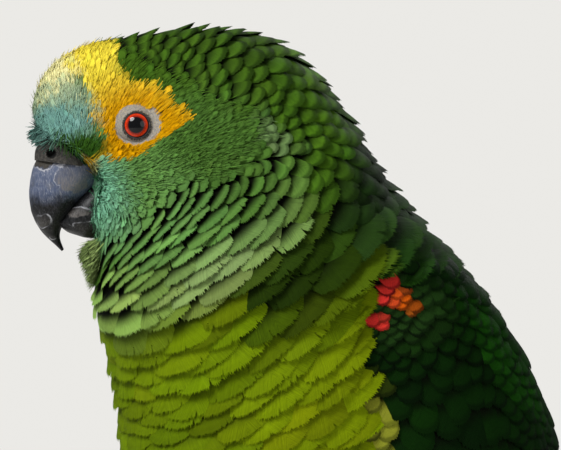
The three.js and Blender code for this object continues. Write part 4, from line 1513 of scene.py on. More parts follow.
def bristles(rng, palette, material):
    """Stiff barbs over the cere from the edge of the forehead and lores."""
    section = rng.uniform(0.15, 2.6, TRIED_BRISTLES)
    angle = rng.uniform(-1.0, 1.0, TRIED_BRISTLES) * np.interp(section, (0.15, 1.5), (3.0, 2.4))
    u, z, _ = profile(BODY, section, angle)
    edge = np.interp(u, (-54, -46, -36), (316.5, 316.5, 313.0))
    keep = (np.abs(z - edge) < 2.6) & (u < -33.5) & (z > 304)
    section, angle, u = section[keep], angle[keep], u[keep]
    n = len(section)
    normals = BODY.read(section, angle)[1]
    toward_back = smoothstep(u, -52, -42)
    forward = stray(rng, n, -1.0 + 1.5 * toward_back, 0.25 * np.sign(normals[:, 1]), -0.25 - 0.9 * toward_back)
    blue = smoothstep(u, -44, -50)[:, None]
    colour = palette.lores * (1 - blue) + palette.forehead * 0.6 * blue
    length, half_width = rng.uniform(2.0, 4.8, n), rng.uniform(0.10, 0.2, n)
    standing_barbs("coat_bristles", section, angle, forward, length, half_width, colour, rng, material)


def chin_tuft(rng, palette, material):
    """A loose tuft of barbs under the bill."""
    section = rng.uniform(0.9, 4.4, TRIED_TUFT)
    angle = (math.pi + rng.uniform(-0.85, 0.85, TRIED_TUFT) + math.pi) % (2 * math.pi) - math.pi
    _, z, _ = profile(BODY, section, angle)
    keep = (z < 286.0) & (z > 268)
    section, angle, z = section[keep], angle[keep], z[keep]
    n = len(section)
    forward = stray(rng, n, -0.6, 0.0, -1.0)
    length = rng.uniform(2.6, 5.6, n) * np.interp(z, (268, 276, 284), (0.7, 0.85, 1.0))
    colour = np.broadcast_to(palette.throat * 0.85 + palette.eye_ring * 0.14, (n, 3))
    standing_barbs("coat_chin", section, angle, forward, length, rng.uniform(0.08, 0.2, n), colour, rng, material)


def thigh_coat(sizes, palette):
    rng = np.random.default_rng(sizes.seed + 3)
    material = plumage_material("Thigh feathers", sizes, palette)
    even = lambda size: lambda section, angle: np.full(np.shape(section), size)
    for side, form in THIGHS.items():
        section, angle, *_ = lay_rows(form, 0.0, 3.9, even(4.0), even(5.0), rng)
        n = len(section)
        length = 12.0 * rng.uniform(0.85, 1.1, n) * np.interp(section, (0, 4), (1, 0.62))
        colour = palette.thigh * (1 + rng.normal(0, 0.08, n))[:, None]
        flock = Flock(
            n,
            rng,
            colour,
            section=section,
            angle=angle,
            length=length,
            half_width=3.7,
            depth=2.2,
            lift=0.5 + rng.random(n) * 0.6,
            cup=0.25,
            twist=rng.normal(0, 0.08, n),
            rounding=0.45,
            fringe=1.2,
            margin=0.2,
        )
        made = grow(f"coat_thigh_{side}", flock, lie_on(form), 10, 6, rng, f"thigh_{side}")
        finish_piece(made, material)


# Wings and tail


COVERTS_RISE = 4.0
COVERTS_MIDDLE_GAP = 11.0
WING_EDGE_ANGLE = 0.06  # radians left bare along the middle of back and belly
WING_BEND = (24.0, 267.0)
COVERT_TOP = ((20, 273), (40, 272), (50, 266), (60, 258), (70, 247), (78, 236), (84, 226), (92, 210), (98, 190))
BELOW_TOP = ((0, 8, 15, 24, 36, 60), (3.2, 3.6, 5.6, 7.6, 9.6, 10.8))  # depth below the top line, exposure
FROM_BEND = ((0, 7, 14, 24, 34, 50), (1.9, 2.2, 3.2, 5.2, 7.6, 11.0))
FROM_FRONT = ((0, 4, 9, 16), (2.6, 3.4, 6.0, 11.0))
SECONDARY_ROOTS = ((40, 200), (58, 194), (78, 200), (98, 212), (112, 224))
SECONDARY_TIPS = ((72, 133), (82, 124.5), (93, 121), (105, 121.5), (119, 127))
PRIMARY_ROOTS = ((64, 158), (82, 152), (100, 154), (114, 160))
PRIMARY_TIPS = ((101, 85), (106.5, 75), (110.5, 70.5), (114.5, 73), (118, 84), (120.5, 98), (121.5, 113))
FLIGHT_EDGE = (
    (49, 172), (58, 155), (69, 138), (81, 124), (91, 104), (100, 86), (107.5, 72), (114, 70), (120, 84), (122, 127),
    (124, 170),
)
FLIGHTS = {  # lines of roots and tips, number of vanes, rise of the first and last, columns of a vane, and measures
    "secondaries": (
        SECONDARY_ROOTS, SECONDARY_TIPS, 11, 1.0, 2.8, 16,
        {"half_width": 8.2, "depth": 0.6, "cup": 0.07, "rounding": 0.16, "fringe": 0.5, "margin": 0.5},
    ),
    "primaries": (
        PRIMARY_ROOTS, PRIMARY_TIPS, 9, -0.4, 1.2, 12,
        {"half_width": 5.8, "depth": 0.5, "cup": 0.08, "rounding": 0.12, "fringe": 0.3, "margin": 0.4},
    ),
}
VANE_NAMES = {"secondaries": "secondary_vanes", "primaries": "primary_vanes"}


def along_line(points, share):
    """Places at even shares of a line's length."""
    points = np.array(points, float)
    reach = np.concatenate([[0], np.cumsum(np.linalg.norm(np.diff(points, axis=0), axis=1))])
    share = np.asarray(share) * reach[-1]
    return np.stack([np.interp(share, reach, points[:, i]) for i in range(points.shape[1])], -1)


def find_on(form, places, sign, low=0, high=99):
    """Section and angle of the points of one side of a form that are seen at profile places."""
    sections = form.sections[(form.sections >= low) & (form.sections <= high)][::2]
    angles = form.angles[1:-1:2]
    angles = angles[np.sign(angles) == sign]
    u, z, _ = profile(form, sections[:, None], angles[None])
    flat = lambda u, z: np.stack([u.ravel(), z.ravel(), np.zeros(u.size)], -1)
    found = nearest(flat(u, z), flat(*np.asarray(places, float).T))
    return sections[found // len(angles)], angles[found % len(angles)]


def flight_flock(layer, sign, rng, colour, tip_colour):
    """Long vanes from one line of roots to one line of tips, each lying on the one in front."""
    roots, tips, count, low, high, _, measures = FLIGHTS[layer]
    share = np.linspace(0, 1, count)
    section, angle = find_on(WING, along_line(roots, share), sign)
    end_section, end_angle = find_on(WING, along_line(tips, share), sign)
    length = WING.read(end_section, angle)[5] - WING.read(section, angle)[5]
    return Flock(
        count,
        rng,
        colour,
        tip_colour,
        section=section,
        angle=angle,
        turn=end_angle - angle,
        length=np.maximum(length, 20),
        base=low + (high - low) * share,
        **measures,
    )


def covert_exposure(section, angle):
    """Small scales at the bend and along the top of the wing, growing to the long greater coverts."""
    u, z, _ = profile(WING, section, angle)
    bend = np.hypot(u - WING_BEND[0], z - WING_BEND[1])
    wanted = np.minimum(np.interp(off_line(COVERT_TOP, u, z), *BELOW_TOP), np.interp(bend, *FROM_BEND))
    return np.minimum(wanted, np.interp(off_line(WING_FRONT, u, z), *FROM_FRONT))


def covert_spacing(section, angle):
    return np.interp(covert_exposure(section, angle), (1.9, 2.6, 3.6, 6, 9, 13), (2.6, 3.5, 4.8, 7.0, 8.6, 10.5))


def covert_flock(sign, rng, palette):
    """The coverts of one wing, from small scales at the bend to the long greater coverts."""
    limits = sorted((sign * WING_EDGE_ANGLE, sign * (math.pi - WING_EDGE_ANGLE)))
    roots = lay_rows(WING, 0.1, 8.2, covert_exposure, covert_spacing, rng, angles=limits)
    u, z, v = profile(WING, roots[0], roots[1])
    near = (beyond_loop(WING_SHOWS, u, z) < 10) | (z < 215)
    keep = near & inside_loop(COVERTS_LOOP, u, z) & (np.abs(v) > COVERTS_MIDDLE_GAP)
    section, angle, _, step, way = roots[:, keep]
    n = len(section)
    step = np.clip(step, 1.7, 15)
    length = step * rng.uniform(2.8, 3.1, n)
    half = covert_spacing(section, angle) * rng.uniform(0.74, 0.82, n)
    seen_u, seen_z, *_ = visible_place(WING, section, angle, length, way, 0.85)
    colour = wing_markings(seen_u, seen_z, palette, rng.normal(0, 0.5, n))
    colour = np.clip(colour * (1 + rng.normal(0, 0.12, n))[:, None], 0.001, 1)
    large = np.interp(step, (3, 9), (0, 1))
    return Flock(
        n,
        rng,
        colour,
        section=section,
        angle=angle,
        way=way,
        length=length,
        half_width=half,
        base=COVERTS_RISE,
        depth=2.2 + 1.0 * large,
        lift=0.35 + 0.3 * large + rng.random(n) * 0.4,
        curl=0.2 + 0.2 * large,
        cup=0.2,
        twist=rng.normal(0, 0.05, n),
        sweep=rng.normal(0, 0.1, n) * half,
        rounding=0.42,
        fringe=0.5 + 0.3 * large,
        margin=0.6 - 1.0 * large + 0.3 * rng.random(n),
    )


def wing_pieces(sizes, palette):
    rng = np.random.default_rng(sizes.seed + 4)
    covert, flight = (plumage_material(name, sizes, palette) for name in ("Wing feathers", "Flight feathers"))
    place = lie_on(WING)
    speculum = np.linspace(1.0, 0.0, FLIGHTS["secondaries"][2]) ** 1.5
    red = paint(evenly(palette.secondary, speculum), [(speculum, palette.speculum)])
    colours = {
        "secondaries": (red, palette.secondary * 0.55 + palette.primary * 0.45),
        "primaries": (palette.secondary * 0.5 + palette.primary * 0.5, palette.primary * 0.8),
    }
    for side, sign in SIDES.items():
        node = f"wing_{side}"
        made = grow(f"{node}_covert_vanes", covert_flock(sign, rng, palette), place, 14, 8, rng, node)
        finish_piece(made, covert, (f"{node}_coverts",))
        for layer, vanes in VANE_NAMES.items():
            flock = flight_flock(layer, sign, rng, *colours[layer])
            made = grow(f"{node}_{vanes}", flock, place, FLIGHTS[layer][5], 30, rng, node, 0.2)
            finish_piece(made, flight, (f"{node}_{layer}",))
        wing_lining(side, sign, palette)


LINING_SHARE = 0.93  # its outline's size beside the wing's own
LINING_ROWS, LINING_COLUMNS, LINING_EDGE_ANGLE = 90, 70, 0.12


def wing_lining(side, sign, palette):
    """The dark underside that closes the wing below its vanes."""
    outline = WING_FRONT + FLIGHT_EDGE + SHOULDER_TOP
    sections = np.linspace(0.3, 12.2, LINING_ROWS)
    angles = sign * np.linspace(LINING_EDGE_ANGLE, math.pi - LINING_EDGE_ANGLE, LINING_COLUMNS)
    points, normals, u, v, *_ = WING.read(sections[:, None], angles[None])
    middle = np.mean(outline, 0)
    loop = [tuple(middle + (np.array(place) - middle) * LINING_SHARE) for place in outline]
    inside = inside_loop(loop, u, points[..., 2]) & (np.abs(v) > 6)
    inside &= (beyond_loop(WING_SHOWS, u, points[..., 2]) < 2) | (points[..., 2] < 200)
    quads = grid_faces(len(sections), len(angles))
    quads = quads[inside.ravel()[quads].all(1)]
    used, quads = np.unique(quads, return_inverse=True)
    height = -0.9 + 1.6 * (1 - smoothstep(sections, 3, 8))[:, None]
    places = (points + normals * height[..., None]).reshape(-1, 3)[used]
    made = make_mesh(f"wing_lining_{side}", places, [quads.reshape(-1, 4)])

    def build(g):
        grain = g.noise(g.place(), 600.0, 3.0)
        return {"Base Color": g.mix(grain, palette.down, palette.skin), "Height": grain}

    finish_piece(made, surface(f"Wing lining {side}", build, 0.3, Roughness=0.8))


TAIL_ROOT, TAIL_TIP = (99.0, 140.0), (112.5, 36.0)
TAIL_LENGTH = math.hypot(TAIL_TIP[0] - TAIL_ROOT[0], TAIL_TIP[1] - TAIL_ROOT[1])
TAIL_HALF_WIDTHS = (10, 14, 17.5, 20, 21, 21, 19.5, 15)
TAIL_ROOF = 3.2  # how far its middle stands above its edges, at a half width of 21


def tail_place(offsets):
    """A place function for the tail's feathers, set side by side by their offsets from -1 to 1."""

    def place(flock, along_mm, across_mm):
        share = along_mm / TAIL_LENGTH
        width = np.interp(np.minimum(share, 0.8), np.linspace(0, 1, 8), TAIL_HALF_WIDTHS)
        across = offsets[:, None] * (width - 7.4) + across_mm
        u = TAIL_ROOT[0] + (TAIL_TIP[0] - TAIL_ROOT[0]) * share + TAIL_ROOF * (1 - (across / 21) ** 2)
        z = TAIL_ROOT[1] + (TAIL_TIP[1] - TAIL_ROOT[1]) * share
        points = to_world(u, across, z)
        out = to_world(1.0, 2 * TAIL_ROOF * across / 21**2, 0.13) - to_world(0.0, 0.0, 0.0)
        return points, unit(out)

    return place


def tail_piece(sizes, palette):
    rng = np.random.default_rng(sizes.seed + 5)
    offsets = np.linspace(-1, 1, 12)
    inner = 1 - np.abs(offsets)
    edge = np.abs(offsets)[:, None] ** 4
    flock = Flock(
        len(offsets),
        rng,
        palette.tail * (1 - 0.5 * edge) + palette.speculum * 0.35 * edge,
        palette.tail_tip,
        section=20.5,
        angle=offsets * 0.8,
        length=TAIL_LENGTH * (0.95 + 0.05 * inner**0.6),
        half_width=8.6,
        base=-2.3 + 4.4 * inner + rng.normal(0, 0.03, 12) + 0.18 * (offsets > 0),
        depth=0.4,
        cup=0.09,
        rounding=0.13,
        fringe=0.5,
        margin=0.35,
    )
    made = grow("tail_vanes", flock, tail_place(offsets), 18, 34, rng, "tail", 0.15)
    return finish_piece(made, plumage_material("Tail feathers", sizes, palette), ("tail",))


# Eyes


EYE_LATERAL = {side: abs(float(middle[1] - NECK_AXIS[1])) for side, middle in EYE_MIDDLES.items()}
EYE_ROWS, EYE_SIDES = 72, 96
CORNEA = (0.25, 3.4)  # height of its bulge and how far out it reaches
PUPIL_BLACK, IRIS_EDGE = (0.002, 0.002, 0.003), (0.006, 0.005, 0.005)


def eye_radius(side):
    low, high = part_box(f"eye_{side}")
    return float(high.x - low.x) / 2 / MM


def side_face(places, sign):
    """How far out to one side the face stands at profile places."""
    section, angle = find_on(BODY, places, sign, 0.4, 7)
    return np.abs(profile(BODY, section, angle)[2])


def eyeball(side, sizes, palette):
    """A ball whose clear front bulges a little, painted with the pupil and iris by its distance from the gaze."""
    gaze = unit(np.array((-0.03, SIDES[side], 0.02)))
    first = unit(np.cross((0, 0, 1), gaze))
    second = np.cross(gaze, first)
    polar = np.linspace(0.0, math.pi, EYE_ROWS + 1)[1:-1, None]
    turn = full_turn(EYE_SIDES)
    local = np.stack([np.sin(polar) * np.cos(turn), np.sin(polar) * np.sin(turn), np.cos(polar) + 0 * turn], -1)
    local = local * eye_radius(side)
    away = np.hypot(local[..., 0], local[..., 1])
    bulge = CORNEA[0] * np.exp(-((away / CORNEA[1]) ** 4)) * (local[..., 2] > 0)
    points = EYE_MIDDLES[side] + local[..., :1] * first + local[..., 1:2] * second
    made = tube_mesh(f"eyeball_{side}", points + (local[..., 2] + bulge)[..., None] * gaze)
    ends = np.array([local[0].mean(0), local[-1].mean(0)])
    add_attribute(made, "gaze", "FLOAT_VECTOR", np.concatenate([local.reshape(-1, 3), ends]))

    def build(g):
        x, y, _ = g.parts(g.attribute("gaze"))
        away = g.distance(x, y)
        spokes = g.noise(g.on_ring(g.math("ARCTAN2", y, x), 1.0, away * 0.25), 9.0, 4.0, 0.65)
        uneven = away + (spokes - 0.5) * 0.16
        share = g.ramp(uneven, sizes.pupil, sizes.iris - 0.15)
        colour = g.mix(share, palette.iris_inner, palette.iris)
        colour = g.shade(colour, g.ramp(spokes, 0.3, 0.7, 0.75, 1.25))
        colour = g.mix(g.ramp(away, sizes.pupil - 0.06, sizes.pupil + 0.1, 1.0, 0.0), colour, PUPIL_BLACK)
        return {"Base Color": g.mix(g.ramp(uneven, sizes.iris - 0.1, sizes.iris + 0.1), colour, IRIS_EDGE)}

    material = surface(f"Eye {side}", build, **{"Roughness": 0.04, "Specular IOR Level": 0.3})
    return finish_piece(made, material, (f"eye_{side}",))


def eyelids(side, sizes, palette):
    """The round lid margin and the bare, pimpled ring, run in under the feathers round it."""
    sign, radius, inner = SIDES[side], eye_radius(side), sizes.lid_opening
    turn = full_turn(144)
    half_length, half_height, tilt = EYE_OVAL
    tilt = math.radians(tilt)
    oval = 1 / np.hypot(np.cos(turn - tilt) / half_length, np.sin(turn - tilt) / half_height)
    away = inner + (oval[None] * 1.28 - inner) * np.linspace(0, 1, 46)[:, None]
    du, dz = away * np.cos(turn), away * np.sin(turn)
    face = side_face(np.stack([EYE_U + du, EYE_Z + dz], -1).reshape(-1, 2), sign).reshape(away.shape)
    easing = zip(np.array((1, 2, 3, 2, 1)) / 9, range(-2, 3))
    face = sum(weight * np.roll(face, shift, 1) for weight, shift in easing)
    over_ball = lambda share, least: EYE_LATERAL[side] + np.sqrt(
        np.maximum(radius**2 - np.minimum(away, radius * share) ** 2, least)
    )
    lid = over_ball(0.96, 0.1) + 0.16 + 0.42 * np.exp(-(((away - inner - 0.42) / 0.34) ** 2))
    bare = face - 0.25 - 1.7 * smoothstep(away / oval[None], 1.14, 1.28)
    blend = smoothstep(away, inner + 0.55, inner + 2.0)
    lateral = lid * (1 - blend) + bare * blend
    clear = over_ball(0.9, 0) - 2.06 * np.maximum(away - radius * 0.9, 0)  # runs on straight past the ball
    lateral = np.maximum(lateral, clear + 0.14)
    du, dz = np.concatenate([du[:1] * 0.97, du]), np.concatenate([dz[:1] * 0.97, dz])
    lateral = np.concatenate([lateral[:1] - 0.5, lateral])  # the margin turned in on the ball
    points = to_world(EYE_U + du, sign * lateral, EYE_Z + dz, 0.0)
    made = make_mesh(f"eyelids_{side}", points.reshape(-1, 3), [grid_faces(len(du), len(turn), True)])
    place_in_ring = np.stack([du, dz, np.concatenate([away[:1], away])], -1)
    add_attribute(made, "ring", "FLOAT_VECTOR", place_in_ring.reshape(-1, 3))
    face_out_from(made, EYE_MIDDLES[side])

    def build(g):
        x, y, away = g.parts(g.attribute("ring"))
        turn = g.math("ARCTAN2", y, x)
        bumps = g.voronoi(g.on_ring(turn, 5.0, away * 0.75), 2.3)
        cracks = g.voronoi(g.vector(x, y, 0.0), 2.6, "DISTANCE_TO_EDGE")
        noise = g.noise(g.vector(x, y, 0.0), 1.6, 3.0)
        spikes = g.noise(g.on_ring(turn, 6.0, 0.0), 2.4)
        uneven = away + (bumps - 0.4) * 0.7
        uneven = uneven + (spikes - 0.5) * 1.0
        pale = g.ramp(uneven, inner + 0.62, inner + 1.0)
        grey = g.mix(g.ramp(noise, 0.35, 0.65), (0.30, 0.28, 0.26), palette.eye_ring)
        colour = g.mix(pale, palette.lid, grey)
        colour = g.mix(g.ramp(cracks, 0.0, 0.09, 0.55, 0.0), colour, (0.08, 0.07, 0.06))
        height = g.ramp(cracks, 0.0, 0.2) - bumps * 0.7
        return {"Base Color": colour, "Height": height, "Roughness": g.ramp(pale, 0.0, 1.0, 0.5, 0.65)}

    return finish_piece(made, surface(f"Bare ring {side}", build, 0.6, 0.0002))


def face_out_from(made, middle):
    """Turns the faces of an open piece away from a point inside."""
    work = bmesh.new()
    work.from_mesh(made.data)
    work.normal_update()
    centre = Vector(middle) * MM
    if sum(face.normal.dot(face.calc_center_median() - centre) for face in work.faces) < 0:
        bmesh.ops.reverse_faces(work, faces=work.faces)
    work.to_mesh(made.data)
    work.free()


def eye_pieces(sizes, palette):
    for side in SIDES:
        eyeball(side, sizes, palette)
        eyelids(side, sizes, palette)


# Bill


UPPER_BILL_ROWS = (
    (-45.5, 317.0, -30.5, 311.0, 8.6),
    (-53.0, 309.8, -33.4, 304.0, 9.8),
    (-55.3, 303.6, -37.0, 300.0, 9.8),
    (-55.7, 297.6, -40.6, 296.0, 9.1),
    (-54.7, 292.4, -43.2, 292.6, 7.7),
    (-52.6, 288.4, -45.6, 289.6, 5.6),
    (-49.6, 285.0, -46.6, 286.4, 3.2),
    (-45.9, 281.7, -45.4, 282.2, 0.5),
)
LOWER_BILL_ROWS = (
    (-27.5, 305.0, -25.0, 287.0, 8.0),
    (-33.0, 303.0, -30.0, 286.2, 7.6),
    (-36.9, 301.4, -36.9, 285.6, 7.8),
    (-40.6, 298.0, -40.6, 286.2, 7.4),
    (-44.0, 294.0, -44.0, 287.4, 6.0),
    (-46.8, 290.6, -46.6, 289.3, 4.2),
)
CERE_ROWS = (
    (-50.5, 316.6, -36.0, 315.6, 8.2),
    (-53.6, 312.6, -33.6, 311.2, 10.4),
    (-54.1, 308.9, -35.0, 306.4, 10.6),
)
NOSTRIL_U, NOSTRIL_Z, NOSTRIL_RADIUS, NOSTRIL_DEPTH = -48.6, 310.8, 1.5, 3.0
UPPER_SCALES = (  # middle u and z, half length and height, width of the flaked edge, wear inside, edge's way, cere
    (-42.6, 303.0, 5.0, 4.9, 0.42, 0.85, -0.6, 0.7, False),
    (-51.1, 290.8, 2.7, 2.0, 0.34, 0.3, 0.5, 0.5, False),
    (-50.9, 291.2, 2.3, 2.6, 0.26, 0.0, 0.1, -0.9, False),
    (-48.4, 285.9, 1.0, 0.8, 0.2, 0.1, -0.3, -0.7, False),
    (-50.6, 310.4, 6.0, 4.4, 0.36, 0.0, 0.0, -1.0, True),
)
LOWER_SCALES = (
    (-41.0, 293.2, 4.2, 1.6, 0.3, 0.6, -0.3, 0.8, False),
    (-37.4, 289.2, 4.8, 1.5, 0.24, 0.15, -0.4, 0.8, False),
)
HORNS = {  # rows, nostrils, relief, heights over which the horn darkens, strength of the flaked edges, worn scales
    "upper": (UPPER_BILL_ROWS, True, 0.1, 300, 294.5, 0.85, UPPER_SCALES),
    "lower": (LOWER_BILL_ROWS, False, 0.14, 330, 312, 0.6, LOWER_SCALES),
}


def profile_of(points):
    """Profile places of world points in the head's own direction."""
    return np.moveaxis(points - np.array((*NECK_AXIS, 0.0)), -1, 0)


def with_nostrils(points, normals):
    """Points pushed in at the nostrils, with a low rim round them."""
    u, v, z = profile_of(points)
    away = np.hypot(u - NOSTRIL_U, z - NOSTRIL_Z) / NOSTRIL_RADIUS
    beside = np.abs(v) > 2.5
    hole = np.sqrt(np.clip(1 - away**2, 0, 1)) * NOSTRIL_DEPTH * beside
    rim = 0.30 * np.exp(-(((away - 1.25) / 0.28) ** 2)) * beside
    inward = np.stack([np.zeros_like(v), -np.sign(v), np.zeros_like(v)], -1)
    return points + inward * hole[..., None] + normals * rim[..., None]


def wavy(points, scale, seed=0.0):
    """Smooth unevenness from -1 to 1 at points, from a few crossed waves."""
    x, y, z = (points[..., i] * scale + seed for i in range(3))
    waves = (
        np.sin(x + 1.7 * np.sin(y * 0.9 + seed)),
        np.sin(y * 1.3 + 1.3 * np.sin(z * 1.1)),
        np.sin(z * 1.2 + 1.5 * np.sin(x * 0.8)),
    )
    return sum(waves) / len(waves)


def horn_material(name, palette, dark_from, dark_to, flake, scales):
    """Grey horn, tinted blue by a painted reflection, darker toward the tip and scratched along its growth, with
    worn scales that have flaked edges.
    """

    def build(g):
        u, z, v = g.parts(g.attribute("profile"))
        place = g.vector(u, z, v)
        cloud = g.noise(place, 0.22, 4.0, 0.6)
        fine = g.noise(g.vector(u * 2.2, z * 0.5, v * 2.2), 1.1, 5.0, 0.7)
        slant = u + z * 0.45
        scratch = g.noise(g.vector(slant * 2.4, z * 0.4, v * 2.4), 1.3, 3.0)
        dark = g.ramp(z + (cloud - 0.5) * 9.0, dark_to, dark_from, 1.0, 0.0)
        light = 1.0 - dark * 0.75
        # the horn's grey with its painted blue reflection, darker toward the tip
        colour = g.mix(dark, palette.bill, palette.bill_dark)
        colour = g.mix(g.ramp(fine, 0.42, 0.72, 0.0, 0.3) * light, colour, palette.bill_flake)
        stained = g.ramp(cloud, 0.5, 0.72, 0.0, 0.45)
        colour = g.mix(stained, colour, g.mix(0.5, palette.bill_dark, (0.10, 0.09, 0.08)))
        colour = g.mix(g.ramp(scratch, 0.6, 0.7, 0.0, 0.5) * light, colour, palette.bill_flake)
        edges = 0.0
        wobble = (g.noise(place, 0.9, 3.0) - 0.5) * 0.4
        wobble = wobble + (g.noise(place, 0.3, 1.0) - 0.5) * 0.9
        for middle_u, middle_z, half_u, half_z, width, wear, edge_u, edge_z, soft_skin in scales:
            du, dz = (u - middle_u) / half_u, (z - middle_z) / half_z
            away = g.distance(du, dz) + wobble
            line = g.ramp(g.math("ABSOLUTE", away - 1.0) * min(half_u, half_z), 0.0, width, 1.0, 0.0)
            line = line * g.ramp(du * edge_u + dz * edge_z, -0.3, 0.7)
            inside = g.ramp(away, 0.8, 1.02, 1.0, 0.0)
            if soft_skin:
                colour = g.mix(inside, colour, g.mix(g.ramp(fine, 0.35, 0.65), palette.cere * 0.35, palette.cere))
            else:
                worn = g.ramp(dz, -0.5, 0.7, 1.0, 0.35) * g.ramp(fine, 0.34, 0.62, wear * 0.35, wear)
                colour = g.mix(inside * worn, colour, palette.bill_worn)
            edges = g.math("MAXIMUM", line, edges)
        broken = g.ramp(g.noise(place, 0.45, 3.0), 0.36, 0.54, 0.12, 1.0)
        edges = edges * broken * flake
        colour = g.mix(edges, colour, palette.bill_flake)
        height = fine * 0.5 + edges * 0.8
        return {"Base Color": colour, "Height": height, "Roughness": g.ramp(fine, 0.3, 0.7, 0.30, 0.55)}

    gloss = {"Coat Weight": 0.04, "Coat Roughness": 0.25, "Specular IOR Level": 0.22}
    return surface(name, build, 0.5, 0.0003, **gloss)


def cere_material(palette):
    """Bare grey skin with pores, and painted shade, black, down the nostrils."""

    def build(g):
        u, z, v = g.parts(g.attribute("profile"))
        du, dz = u - NOSTRIL_U, z - NOSTRIL_Z
        away = g.distance(du, dz)
        place = g.vector(u, z, v)
        grain = g.noise(place, 1.1, 4.0, 0.65)
        pores = g.voronoi(place, 2.2)
        colour = g.mix(g.ramp(grain, 0.35, 0.7), g.times(palette.cere, (0.2, 0.2, 0.2)), palette.cere)
        # Painted shade, near black, down the nostrils.
        colour = g.mix(g.ramp(away + grain * 0.4, 1.3, 1.8, 1.0, 0.0), colour, (0.004, 0.004, 0.004))
        return {"Base Color": colour, "Height": grain - pores * 0.6}

    return surface("Cere", build, 0.7, 0.00035, Roughness=0.62)


def bill_tube(name, rows, every, nostrils=False, relief=0.1, ends=0):
    """A closed piece of the bill, uneven by its relief, with softly rolled edges at both ends."""
    form = Form(rows, share=lambda s: 0 * s, squareness=1.1)
    sections, angles = form.sections[::every], form.angles[:-1:2]
    points, normals, *_ = form.read(sections[:, None], angles[None])
    points = points + normals * (relief * wavy(points, 0.9))[..., None]
    if nostrils:
        points = with_nostrils(points, normals)
    for _ in range(ends):
        first, last = points[0].mean(0), points[-1].mean(0)
        points = np.concatenate([[first + (points[0] - first) * 0.95], points, [last + (points[-1] - last) * 0.95]])
    made = tube_mesh(name, points)
    places = (np.append(part, (part[:10].mean(), part[-10:].mean())) for part in profile_of(points.reshape(-1, 3)))
    u, v, z = places
    add_attribute(made, "profile", "FLOAT_VECTOR", np.stack([u, z, v], -1))
    return made


def bill_pieces(sizes, palette):
    for part, (rows, nostrils, relief, *look) in HORNS.items():
        horn = bill_tube(f"{part}_bill_horn", rows, 2, nostrils, relief)
        material = horn_material(f"{part.capitalize()} bill", palette, *look)
        finish_piece(horn, material, (f"{part}_bill",))
    cere = bill_tube("cere_skin", CERE_ROWS, 1, True, 0.12, ends=2)
    finish_piece(cere, cere_material(palette), ("cere",))


# Feet


PERCH_U, PERCH_Z, PERCH_RADIUS, PERCH_HALF_LENGTH = 36.4, 130.0, 13.0, 68.0
PERCH_GAP = 0.3
FOOT_LATERAL = 17.0
SHANK_PATH = ((47, 166), (43, 156), (38, 149), (PERCH_U, 147.2))
SHANK_RADII = (3.5, 3.3, 3.7, 3.2)
PAD_RADIUS, PAD_RISE = 4.6, 3.2
TOE_START = 13.0
TOE_FORMS = {  # way, place at root and tip, degrees round the perch, radius at root and tip, joints
    "inner_front": (-1, -3.7, -7.2, 74.0, 3.0, 2.3, 3),
    "outer_front": (-1, 3.7, 6.2, 98.0, 3.2, 2.4, 4),
    "inner_back": (1, -3.6, -6.4, 58.0, 2.9, 2.3, 2),
    "outer_back": (1, 3.7, 7.6, 92.0, 3.1, 2.3, 4),
}
CLAW_LENGTH, CLAW_BEND, CLAW_STEPS = 9.0, 62.0, 28


def limb(name, path, radii, sides, scutes=None):
    """A round tube in body places (u, v, z) along a smooth path, its radius given for each point."""
    tangent = unit(np.gradient(path, axis=0))
    up = unit(np.cross(tangent, (0, 1, 0)))
    side = unit(np.cross(up, tangent))
    turn = full_turn(sides)
    radii = np.broadcast_to(np.asarray(radii, float)[:, None], (len(path), sides)).copy()
    if scutes is not None:
        reach = np.concatenate([[0], np.cumsum(np.linalg.norm(np.diff(path, axis=0), axis=1))])
        ridge = np.abs(np.sin(math.pi * reach / scutes))[:, None] ** 0.6
        radii = radii * (0.965 + 0.06 * ridge * (0.5 + 0.5 * np.abs(np.cos(turn))))
    out = np.cos(turn)[None, :, None] * up[:, None] + np.sin(turn)[None, :, None] * side[:, None]
    return tube_mesh(name, to_world(*np.moveaxis(path[:, None] + radii[..., None] * out, -1, 0)))


def round_perch(way, angle, radius, v):
    """Body places at angles from the top of the perch, for a limb of a radius that lies on it."""
    distance = PERCH_RADIUS + PERCH_GAP + radius * 1.06 + 0.15
    u, z = PERCH_U + way * distance * np.sin(angle), PERCH_Z + distance * np.cos(angle)
    return np.stack(np.broadcast_arrays(u, v, z), -1)


def toe_path(sign, form, count=60):
    way, root, tip, sweep, thick, thin, joints = form
    share = np.linspace(0, 1, count)
    radius = thick + (thin - thick) * share
    angle = np.radians(TOE_START + (sweep - TOE_START) * share)
    path = round_perch(way, angle, radius, sign * (FOOT_LATERAL + root + (tip - root) * share))
    return path, radius * (1 + 0.06 * np.cos(2 * math.pi * joints * share))


def foot_piece(side, material):
    """Shank, toes and pad run together to one scaled skin."""
    sign = SIDES[side]
    steps = np.linspace(0, len(SHANK_PATH) - 1, 40)
    path = smooth_rows([(u, sign * FOOT_LATERAL, z) for u, z in SHANK_PATH], steps)
    parts = [limb("shank", path, np.interp(steps, range(len(SHANK_RADII)), SHANK_RADII), 40, 1.9)]
    parts += [limb("toe", *toe_path(sign, form), 36, 1.75) for form in TOE_FORMS.values()]
    turn, rise = np.meshgrid(full_turn(40), np.linspace(-1.5, 1.5, 24))
    pad = np.stack([1.25 * np.cos(rise) * np.cos(turn), np.cos(rise) * np.sin(turn), 0.62 * np.sin(rise)], -1)
    middle = (PERCH_U, sign * FOOT_LATERAL, PERCH_Z + PERCH_RADIUS + PERCH_GAP + PAD_RISE)
    parts.append(tube_mesh("pad", to_world(*np.moveaxis(PAD_RADIUS * pad + middle, -1, 0))))
    made = smoothed(joined(f"foot_{side}", parts), 0.4, 3)
    made.data.name = made.name
    nodes = [f"shank_{side}"] + [f"toe_{side}_{toe}" for toe in TOE_FORMS]
    return finish_piece(made, material, nodes)


